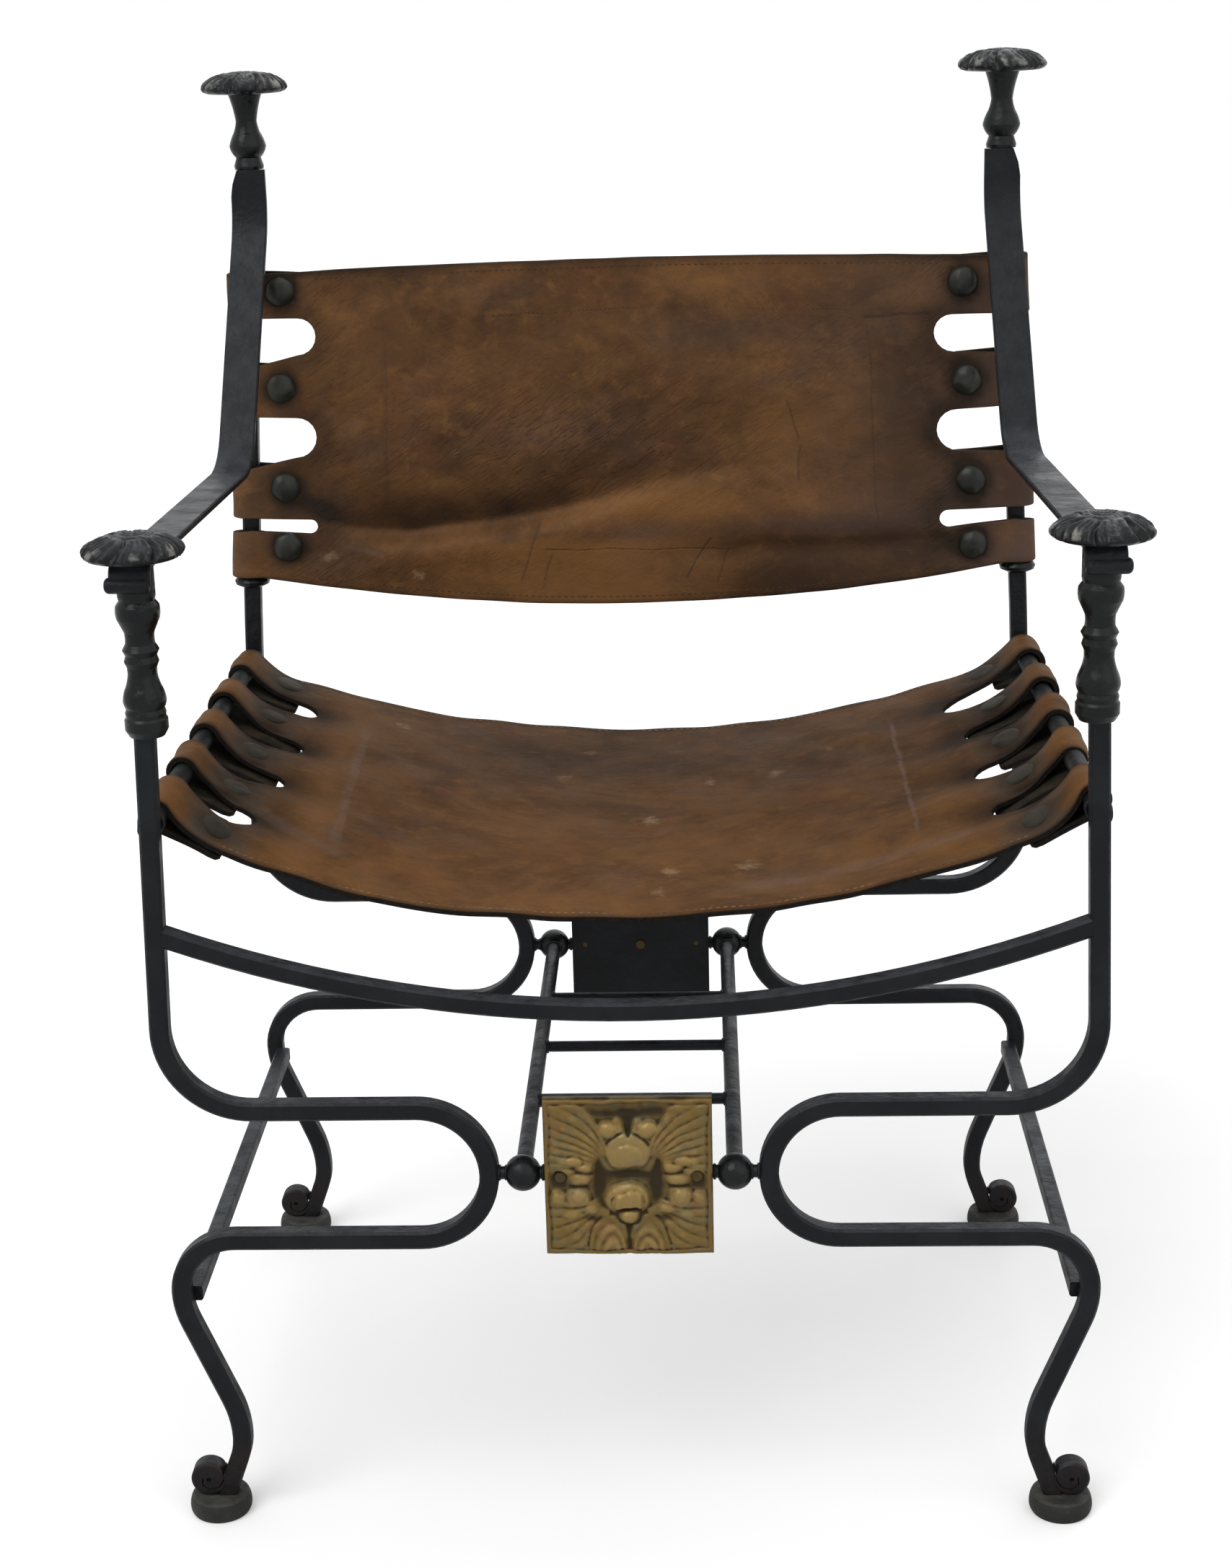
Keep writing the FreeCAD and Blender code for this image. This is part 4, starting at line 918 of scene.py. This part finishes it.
def domeNails(name, look, hanging, places, node):
    bm = bmesh.new()
    for k, (u, v) in enumerate(places):
        at, normal = hanging.spot(u, v)
        made = bmesh.ops.create_uvsphere(bm, u_segments=28, v_segments=18, radius=1.0)["verts"]
        turn = normal.to_track_quat("Z", "Y").to_matrix().to_4x4()
        for vert in made:
            p = vert.co.copy()
            lump = 1 + 0.06 * noise.noise(p * 1.7 + Vector((k * 5.1, u * 40, 0)))
            height = max(p.z, -0.3)
            if height > look["flat"]:
                height = look["flat"] + (height - look["flat"]) * 0.45
            dent = 0.03 * noise.noise(p * 3.6 + Vector((u * 70, k * 3.3, 1)))
            vert.co = Vector((p.x * lump * look["radius"], p.y * lump * look["radius"],
                              (height * lump + dent * max(0, p.z)) * look["height"]))
        bmesh.ops.transform(bm, verts=made, matrix=Matrix.Translation(at) @ turn)
    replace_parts(addPiece(bm, name, [look["finish"]]), node)


for side, word in ((1, "right"), (-1, "left")):
    seatU = seatHang.across(seatSling["nailReach"])
    places = [(side * seatU, v) for v in seatTabs]
    domeNails(word + "SeatNails", nailLook["seat"], seatHang, places, word + "_seat_nails")
    places = [(side * backHang.across(reach * mm), z * mm) for reach, z in backSling["nails"][side]]
    domeNails(word + "BackNails", nailLook["back"], backHang, places, word + "_back_nails")
print("nails driven")


# Carved rosettes: a thick-rimmed dome spun from its profile, then cut into leaves

rosetteLook = {"radius": 33.0 * mm, "height": 16.2 * mm, "leaves": 7, "carve": 3.4 * mm, "steps": 160}
rosetteShares = [(0.0, 0.0), (0.38, 0.0), (0.62, 0.02), (0.84, 0.05), (0.93, 0.11), (0.985, 0.22), (1.0, 0.33),
                 (0.99, 0.42), (0.955, 0.52), (0.90, 0.61), (0.83, 0.70), (0.75, 0.78), (0.66, 0.85), (0.56, 0.905),
                 (0.46, 0.945), (0.36, 0.97), (0.26, 0.985), (0.16, 1.0), (0.08, 1.0), (0.0, 1.0)]


def carvedDepth(share, angle, seed):
    # how deep the cuts go, as a share of the deepest, and how much of a crest is left
    uneven = 0.08 * np.sin(angle * 3 + seed * 2.1) + 0.04 * np.sin(angle * 5 + seed)
    swirl = angle + uneven + 0.09 * np.sin(share * 6 + seed)
    phase = (swirl * rosetteLook["leaves"] / (2 * math.pi)) % 1.0 - 0.5
    gap = bell(np.abs(phase) - 0.5, 0.085)
    fold = bell(np.abs(phase) - 0.22, 0.07) * 0.6 * ease(share, 0.5, 0.66)
    vein = bell(phase, 0.04) * 0.40 * ease(share, 0.42, 0.6) * (1 - ease(share, 0.88, 0.97))
    band = ease(share, 0.36, 0.50)
    ring = bell(share - 0.38, 0.045) * 0.55 * (0.6 + 0.4 * np.sin(angle * 4 + seed))
    inner = bell(share - 0.20, 0.03) * 0.35
    tips = (1 - np.sqrt(np.clip(1 - (2 * phase) ** 2, 0, 1))) * ease(share, 0.72, 1.0) * 0.9
    depth = np.clip((gap + fold + vein + tips) * band + ring + inner, 0, 1.15)
    return depth, (1 - depth) * ease(share, 0.62, 0.92)


def rosette(name, node, seed):
    low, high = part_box(node)
    middle = (low + high) / 2
    bm = bmesh.new()
    radius, height = rosetteLook["radius"], rosetteLook["height"]
    verts = [bm.verts.new((x * radius, 0, z * height)) for x, z in rosetteShares]
    edges = [bm.edges.new(pair) for pair in zip(verts, verts[1:])]
    bmesh.ops.subdivide_edges(bm, edges=edges, cuts=2)
    bmesh.ops.spin(bm, geom=bm.verts[:] + bm.edges[:], cent=(0, 0, 0), axis=(0, 0, 1), angle=2 * math.pi,
                   steps=rosetteLook["steps"], use_merge=True)
    bmesh.ops.remove_doubles(bm, verts=bm.verts[:], dist=1e-6)
    bmesh.ops.recalc_face_normals(bm, faces=bm.faces[:])
    co = np.array([v.co for v in bm.verts])
    share = np.hypot(co[:, 0], co[:, 1]) / radius
    angle = np.arctan2(co[:, 1], co[:, 0])
    top = ease(co[:, 2] / height, 0.12, 0.40)
    depth, crest = carvedDepth(share, angle, seed)
    lump = 0.30 * mm * ripple(angle * 4, share * 6, 1.1, seed)
    drop = depth * rosetteLook["carve"] * top - lump * top
    pull = 1 - 0.055 * depth * ease(share, 0.8, 1.0)
    each = np.array([random.Random(seed * 31 + k).uniform(0.45, 1.0) for k in range(16)])
    sector = (angle + math.pi) * 8 / math.pi
    first, blend = sector.astype(int) % 16, ease(sector % 1.0, 0.0, 1.0)
    pick = each[first] * (1 - blend) + each[(first + 1) % 16] * blend
    wornAndHighlitLayer, hollowLayer = bm.verts.layers.float.new("wornAndHighlit"), bm.verts.layers.float.new("hollow")
    for k, vert in enumerate(bm.verts):
        # crests near the rim: rubbed wear plus painted highlight
        vert[wornAndHighlitLayer] = crest[k] * pick[k] * top[k] + 0.25 * (1 - top[k]) * pick[k]
        vert[hollowLayer] = depth[k] * top[k]
        vert.co = Vector((co[k, 0] * pull[k], co[k, 1] * pull[k], max(co[k, 2] - max(drop[k], -0.2 * mm), 0.0)))
    bmesh.ops.translate(bm, verts=bm.verts[:], vec=(middle.x, middle.y, low.z))
    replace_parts(addPiece(bm, name, [rosetteIron]), node)


for seed, (word, place) in enumerate([(w, p) for w in ("left", "right") for p in ("front", "rear")]):
    rosette(word + place.capitalize() + "Rosette", word + "_" + place + "_rosette", seed + 1)
print("rosettes carved")


# Brass plaques: worn acanthus leaves and buds, raised from a fine grid (in millimetres)

plaqueLook = {"width": 112.0, "height": 113.0, "base": 4.5, "rim": 3.6, "rimHeight": 2.6, "cells": 200, "back": 215.0,
              "middle": 257.6, "field": 1.5}


def domeShape(x, z, center, size, height, power=0.5):
    inside = 1 - ((x - center[0]) / size[0]) ** 2 - ((z - center[1]) / size[1]) ** 2
    return height * np.clip(inside, 0, None) ** power


def fanShape(x, z, center, start, end, count, reach, height, curl):
    # ridged leaf that spreads from a point, its ridges bending as they run out
    dx, dz = x - center[0], z - center[1]
    far = np.hypot(dx, dz)
    turn = (np.degrees(np.arctan2(dz, dx)) + curl * (far - reach) - start) / (end - start) * count
    phase = turn % 1.0 - 0.5
    ridge = np.sqrt(np.clip(1 - (2 * phase) ** 2, 0, 1))
    rise = np.clip((far - 4) / 9, 0, 1) * (1 - 0.25 * np.clip((far - reach) / 25, 0, 1))
    return np.where((turn > 0) & (turn < count), height * (0.50 + 0.50 * ridge) * rise, 0)


def sink(h, x, z, center, size, depth):
    # presses a soft oval hollow into the relief
    across, up = np.abs((x - center[0]) / size[0]), np.abs((z - center[1]) / size[1])
    return h * (1 - depth * np.exp(-across ** 2 - up ** 2))


def reliefAt(x, z):
    m = np.abs(x)
    h = np.full_like(x, plaqueLook["field"])
    # four corner leaves and the stacked lobes between them
    h = np.maximum(h, fanShape(m, z, (12, 5), 4, 80, 8, 28, 4.6, 0.55))
    h = np.maximum(h, fanShape(m, z, (13, -14), -84, -6, 7, 26, 4.4, -0.50))
    for center, size, height in (((38, 12.5), (13, 5.4), 5.8), ((29, 7.5), (9, 5.2), 5.9), ((43, 4.0), (9.5, 4.6), 5.2),
                                 ((33, -1.0), (11, 5.2), 5.7), ((34, -14), (9.8, 8.8), 6.8),
                                 ((47, -15), (6.5, 6.5), 5.2), ((25, -23), (7.5, 6.0), 5.4),
                                 ((38, -27), (10.5, 5.2), 5.2)):
        h = np.maximum(h, domeShape(m, z, center, size, height, 0.6))
    h = h - 0.9 * bell(np.hypot(m - 34, z + 13) - 5.2, 0.9) * (z < -9)
    h = h - 0.7 * bell(np.hypot(m - 36, z - 12) - 5.6, 0.9) * (z > 9)
    # lower pair of onion lobes with nested arcs
    onion = np.hypot((m - 12.5) / 12.0, (z + 56) / 25)
    nested = np.maximum(4.4 * np.sqrt(np.clip(1.1 - onion ** 2 * 0.55, 0, 1)) + 0.75 * np.cos(onion * 17), 0.8)
    h = np.where((onion < 1.28) & (z < -28), np.maximum(nested, 0.8), h)
    h = h - 2.6 * bell(x, 1.5) * (z < -34)
    # hood round the upper bud, grooved at its sides, its two bright shoulders split by a dark cleft
    hood = domeShape(x, z, (0, 21.5), (25.5, 24.0), 6.0, 0.45)
    far = np.hypot(x / 25.5, (z - 19) / 25.5)
    hood = hood - sum(1.5 * bell(far - at, 0.035) for at in (0.68, 0.80, 0.92)) * (m > 9)
    hood = hood - 2.2 * bell(np.hypot(x / 13.9, (z - 18.5) / 13.2) - 1.10, 0.07)
    h = np.where((hood > h) & (z > 4), hood, h)
    h = np.maximum(h, domeShape(m, z, (12.6, 35.2), (9.0, 7.6), 7.2, 0.6))
    cleft = np.clip(1.2 + (z - 33) * 0.36, 1.0, 5.0)
    h = h * (1 - 0.95 * np.exp(-(x / cleft) ** 4) * ease(z, 28, 33) * (1 - ease(z, 47, 50)))
    h = sink(h, m, z, (14, 46.5), (16, 2.6), 0.50)
    # dark hollows under the upper bud and beside the lower one
    h = sink(h, x, z, (0, 3.6), (15.5, 4.0), 0.90)
    h = sink(h, m, z, (18.6, -4), (3.4, 13.0), 0.85)
    h = sink(h, m, z, (20.5, 9), (3.0, 6.0), 0.75)
    h = sink(h, m, z, (24, -30.5), (7.5, 4.0), 0.80)
    bud = domeShape(x, z, (0, 18.5), (13.9, 13.2), 7.8)
    lip = 1.5 * bell(np.hypot(x / 10.4, (z - 16.2) / 9.4) - 1, 0.10)
    stripes = 0.30 * np.cos(x * 1.5) * (np.hypot(x / 9.5, (z - 16.0) / 8.5) < 1)
    h = np.maximum(h, np.where(bud > 0, bud - lip + stripes, 0))
    bulb = domeShape(x, z, (-0.4, -15.5), (16.4, 13.4), 8.4)
    folds = 1.1 * bell(np.hypot(m / 11.6, (z + 17.5) / 9.4) - 1, 0.09) * (z > -24)
    petals = 0.8 * np.cos(x * 0.85) * bell(z + 15, 8) * (np.hypot(x / 11.5, (z + 16.5) / 9.2) < 1)
    h = np.maximum(h, np.where(bulb > 0, bulb - folds + petals, 0))
    h = np.where(np.hypot(x / 9.6, (z + 27.6) / 7.2) < 1, np.minimum(h, 2.2), h)
    h = np.maximum(h, domeShape(x, z, (-0.2, -27.2), (7.4, 5.4), 7.0))
    h = sink(h, m, z, (45.5, -2.0), (5.0, 6.0), 0.75)
    # the screws' own seats and the plain rim
    h = np.where(np.hypot(m - 45.5, z) < 4.2, 0.2, np.maximum(h, 0.4))
    edge = np.minimum(plaqueLook["width"] / 2 - m, plaqueLook["height"] / 2 - np.abs(z))
    rim = plaqueLook["rim"]
    h = np.where(edge < rim + 1.2, h * (0.45 + 0.55 * np.clip((edge - rim) / 1.2, 0, 1)), h)
    band = plaqueLook["rimHeight"] * np.clip((rim - edge) / 0.9, 0, 1) * np.clip(0.3 + edge / 0.9, 0, 1)
    return np.maximum(h, band)


def blurred(grid, times):
    for _ in range(times):
        for axis in (0, 1):
            before = np.take(grid, np.clip(np.arange(grid.shape[axis]) - 1, 0, None), axis)
            after = np.take(grid, np.clip(np.arange(grid.shape[axis]) + 1, None, grid.shape[axis] - 1), axis)
            grid = (before + 2 * grid + after) / 4
    return grid


def plaque(name, node, side):
    look = plaqueLook
    bm = bmesh.new()
    bmesh.ops.create_grid(bm, x_segments=look["cells"], y_segments=look["cells"], size=0.5)
    bmesh.ops.scale(bm, verts=bm.verts[:], vec=(look["width"], look["height"], 1))
    co = np.array([v.co for v in bm.verts])
    order = np.lexsort((np.round(co[:, 0], 4), np.round(co[:, 1], 4)))
    across = look["cells"] + 1
    x, z = co[order, 0].reshape(across, across), co[order, 1].reshape(across, across)
    height = reliefAt(x + 0.8 * ripple(x, z, 26, side + 5), z + 0.8 * ripple(x, z, 26, side + 8))
    height = blurred(height, 3) + 0.10 * ripple(x, z, 7, 3)
    # darker below the broad forms, in the fine folds and on the lowest ground: patina, with painted shade in it too
    hollow = np.clip((blurred(height, 60) - height) / 2.2, 0, 1) * 0.8
    hollow = hollow + np.clip((blurred(height, 8) - height) / 0.6, 0, 1) * 0.50
    hollow = np.maximum(hollow, blurred(np.clip((2.1 - height) / 1.5, 0, 1), 10) * 0.90)
    edge = np.minimum(look["width"] / 2 - np.abs(x), look["height"] / 2 - np.abs(z))
    height = height - (1 - np.clip(edge / 0.7, 0, 1)) * 0.5
    reliefLayer = bm.verts.layers.float.new("relief")
    hollowLayer = bm.verts.layers.float.new("hollow")
    bm.verts.ensure_lookup_table()
    rim = [e for e in bm.edges if e.is_boundary]
    for k, h, sunkAndShaded in zip(order, height.ravel(), hollow.ravel()):
        vert = bm.verts[k]
        vert[reliefLayer], vert[hollowLayer] = min(1.0, h / 6.0), sunkAndShaded
        vert.co.z = h
    grown = bmesh.ops.extrude_edge_only(bm, edges=rim)
    for vert in [g for g in grown["geom"] if isinstance(g, bmesh.types.BMVert)]:
        vert.co.z = -look["base"]
        vert[reliefLayer], vert[hollowLayer] = 0.3, 0.2
    bmesh.ops.contextual_create(bm, geom=[g for g in grown["geom"] if isinstance(g, bmesh.types.BMEdge)])
    bmesh.ops.recalc_face_normals(bm, faces=bm.faces[:])
    turn = Matrix.Rotation(math.pi / 2, 4, "X") @ Matrix.Scale(mm, 4)
    if side > 0:
        turn = Matrix.Rotation(math.pi, 4, "Z") @ turn
    place = Matrix.Translation((0, side * (look["back"] + look["base"]) * mm, look["middle"] * mm))
    bmesh.ops.transform(bm, verts=bm.verts[:], matrix=place @ turn)
    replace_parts(addPiece(bm, name, [antiqueBrass]), node)


plaque("frontPlaque", "front_plaque", -1)
plaque("rearPlaque", "rear_plaque", 1)
print("plaques cast")


# Weld beads where rods and necks meet the bars

# places and beads in millimetres: reach and radius of each neck's rings, then the rails', rods' and crossbars' ends
weldLook = {"sides": 8, "steps": 22, "frame": 213, "middle": 257.6, "neckBead": 1.1,
            "necks": ((57.2, 4.4), (82.0, 4.4), (86.6, 4.6)),
            "rail": {"reach": 303.4, "along": 206.3, "height": 506, "radius": 7.2, "bead": 1.4},
            "rod": {"reach": 70.8, "along": 202.3, "height": 257.6, "radius": 5.6, "bead": 1.2},
            "crossbars": (-96, 0, 96), "crossbarReach": 65.4, "crossbarRadius": 4.1, "crossbarBead": 1.2,
            "lumps": (((309.6, -213, 505.5), (2.4, 5.2, 7.5)), ((308.6, 213, 505.0), (1.8, 5.0, 6.5)))}


def weldRing(bm, place, axis, radius, bead):
    made = bmesh.ops.create_circle(bm, segments=weldLook["sides"], radius=bead)["verts"]
    edges = [e for e in bm.edges if e.verts[0] in made and e.verts[1] in made]
    bmesh.ops.rotate(bm, verts=made, cent=(0, 0, 0), matrix=Matrix.Rotation(math.pi / 2, 3, "X"))
    bmesh.ops.translate(bm, verts=made, vec=(radius, 0, 0))
    before = set(bm.verts) - set(made)
    bmesh.ops.spin(bm, geom=made + edges, cent=(0, 0, 0), axis=(0, 0, 1), angle=2 * math.pi,
                   steps=weldLook["steps"], use_merge=True)
    ring = [v for v in bm.verts if v not in before]
    for vert in ring:
        vert.co *= 1 + 0.10 * noise.noise(vert.co * 420 + place * 50)
    turn = Vector(axis).to_track_quat("Z", "Y").to_matrix().to_4x4()
    bmesh.ops.transform(bm, verts=ring, matrix=Matrix.Translation(place) @ turn)


def weldLump(bm, place, size, seed):
    made = bmesh.ops.create_icosphere(bm, subdivisions=3, radius=1.0)["verts"]
    for vert in made:
        lump = 1 + 0.25 * noise.noise(vert.co * 1.6 + Vector((seed, 0, 0)))
        vert.co = place + Vector(a * b * lump for a, b in zip(vert.co, size))


for side, word in ((1, "right"), (-1, "left")):
    look = weldLook
    bm = bmesh.new()
    for y in (-look["frame"], look["frame"]):
        for x, radius in look["necks"]:
            weldRing(bm, Vector((side * x, y, look["middle"])) * mm, (1, 0, 0), radius * mm, look["neckBead"] * mm)
        for end in (look["rail"], look["rod"]):
            place = Vector((side * end["reach"], math.copysign(end["along"], y), end["height"]))
            weldRing(bm, place * mm, (0, 1, 0), end["radius"] * mm, end["bead"] * mm)
    for y in look["crossbars"]:
        weldRing(bm, Vector((side * look["crossbarReach"], y, look["middle"])) * mm, (1, 0, 0),
                 look["crossbarRadius"] * mm, look["crossbarBead"] * mm)
    for k, ((x, y, z), size) in enumerate(look["lumps"], 1):
        weldLump(bm, Vector((side * x, y, z)) * mm, Vector(size) * mm, side * k)
    bmesh.ops.recalc_face_normals(bm, faces=bm.faces[:])
    addPiece(bm, word + "Welds", [wroughtIron])
print("welds added")


# Floor, light and camera

stageLook = {"floor": 0.84, "floorLift": 0.22, "world": 0.45}

bm = bmesh.new()
bmesh.ops.create_circle(bm, cap_ends=True, segments=96, radius=9.0)
mesh = bpy.data.meshes.new("floor")
bm.to_mesh(mesh)
bm.free()
floor = bpy.data.objects.new("floor", mesh)
bpy.context.scene.collection.objects.link(floor)
f = Finish("paleFloor", {"Base Color": (*[stageLook["floor"]] * 3, 1.0), "Roughness": 0.9, "Specular IOR Level": 0.0,
                         "Emission Strength": 1.0})
seen = f.node("LightPath", output=0)
f.set({"Emission Color": f.mix(seen, (0, 0, 0), [stageLook["floorLift"]] * 3)})
mesh.materials.append(f.material)

world = bpy.data.worlds.new("studio")
bpy.context.scene.world = world
world.use_nodes = True
background = world.node_tree.nodes["Background"]
rays = world.node_tree.nodes.new("ShaderNodeLightPath")
links = world.node_tree.links


def worldMath(kind, *values):
    node = world.node_tree.nodes.new("ShaderNodeMath")
    node.operation = kind
    for socket, value in zip(node.inputs, values):
        if isinstance(value, bpy.types.NodeSocket):
            links.new(value, socket)
        else:
            socket.default_value = value
    return node.outputs[0]


# full white where it is seen or mirrored, dimmer as light
seen = worldMath("ADD", rays.outputs["Is Camera Ray"], rays.outputs["Is Glossy Ray"])
seen = worldMath("MINIMUM", worldMath("ADD", seen, rays.outputs["Is Transmission Ray"]), 1.0)
strength = worldMath("MULTIPLY_ADD", seen, 1 - stageLook["world"], stageLook["world"])
links.new(strength, background.inputs["Strength"])
background.inputs["Color"].default_value = (1, 1, 1, 1)

# each lamp: where it shines from, strength, width of its disc in degrees
lampLook = [("key", (-0.6, -0.8, 1.1), 1.45, 40), ("fill", (0.9, -0.9, 0.7), 0.55, 60),
            ("top", (0.1, 0.3, 1.0), 0.75, 70), ("rear", (0.3, 1.0, 0.6), 0.35, 60)]
for name, way, power, width in lampLook:
    lamp = bpy.data.lights.new(name, "SUN")
    lamp.angle = math.radians(width)
    lamp.energy = power
    holder = bpy.data.objects.new(name, lamp)
    holder.location = Vector(way) * 3
    holder.rotation_mode = "QUATERNION"
    holder.rotation_quaternion = (-Vector(way)).to_track_quat("-Z", "Y")
    bpy.context.scene.collection.objects.link(holder)

cameraLook = {"place": (0.0539, -1.8117, 1.033), "yaw": -3.429, "pitch": 17.507, "roll": 1.914, "focal": 3650,
              "center": (767.1, 1091.3), "image": (1708, 2174)}


def fittedCamera(look):
    yawSin, yawCos = lean(look["yaw"])
    pitchSin, pitchCos = lean(look["pitch"])
    rollSin, rollCos = lean(look["roll"])
    ahead = Vector((yawSin * pitchCos, yawCos * pitchCos, -pitchSin))
    level = Vector((yawCos, -yawSin, 0))
    down = ahead.cross(level)
    right = level * rollCos + down * rollSin
    down = down * rollCos - level * rollSin
    data = bpy.data.cameras.new("view")
    longSide = max(look["image"])
    data.sensor_width = 36
    data.lens = look["focal"] * 36 / longSide
    data.shift_x = (look["image"][0] / 2 - look["center"][0]) / longSide
    data.shift_y = (look["center"][1] - look["image"][1] / 2) / longSide
    data.clip_start, data.clip_end = 0.05, 60
    camera = bpy.data.objects.new("view", data)
    bpy.context.scene.collection.objects.link(camera)
    turn = Matrix((right, -down, -ahead)).transposed().to_4x4()
    camera.matrix_world = Matrix.Translation(look["place"]) @ turn
    return camera


bpy.context.scene.camera = fittedCamera(cameraLook)
bpy.context.scene.view_settings.view_transform = "Standard"
print("stage set")
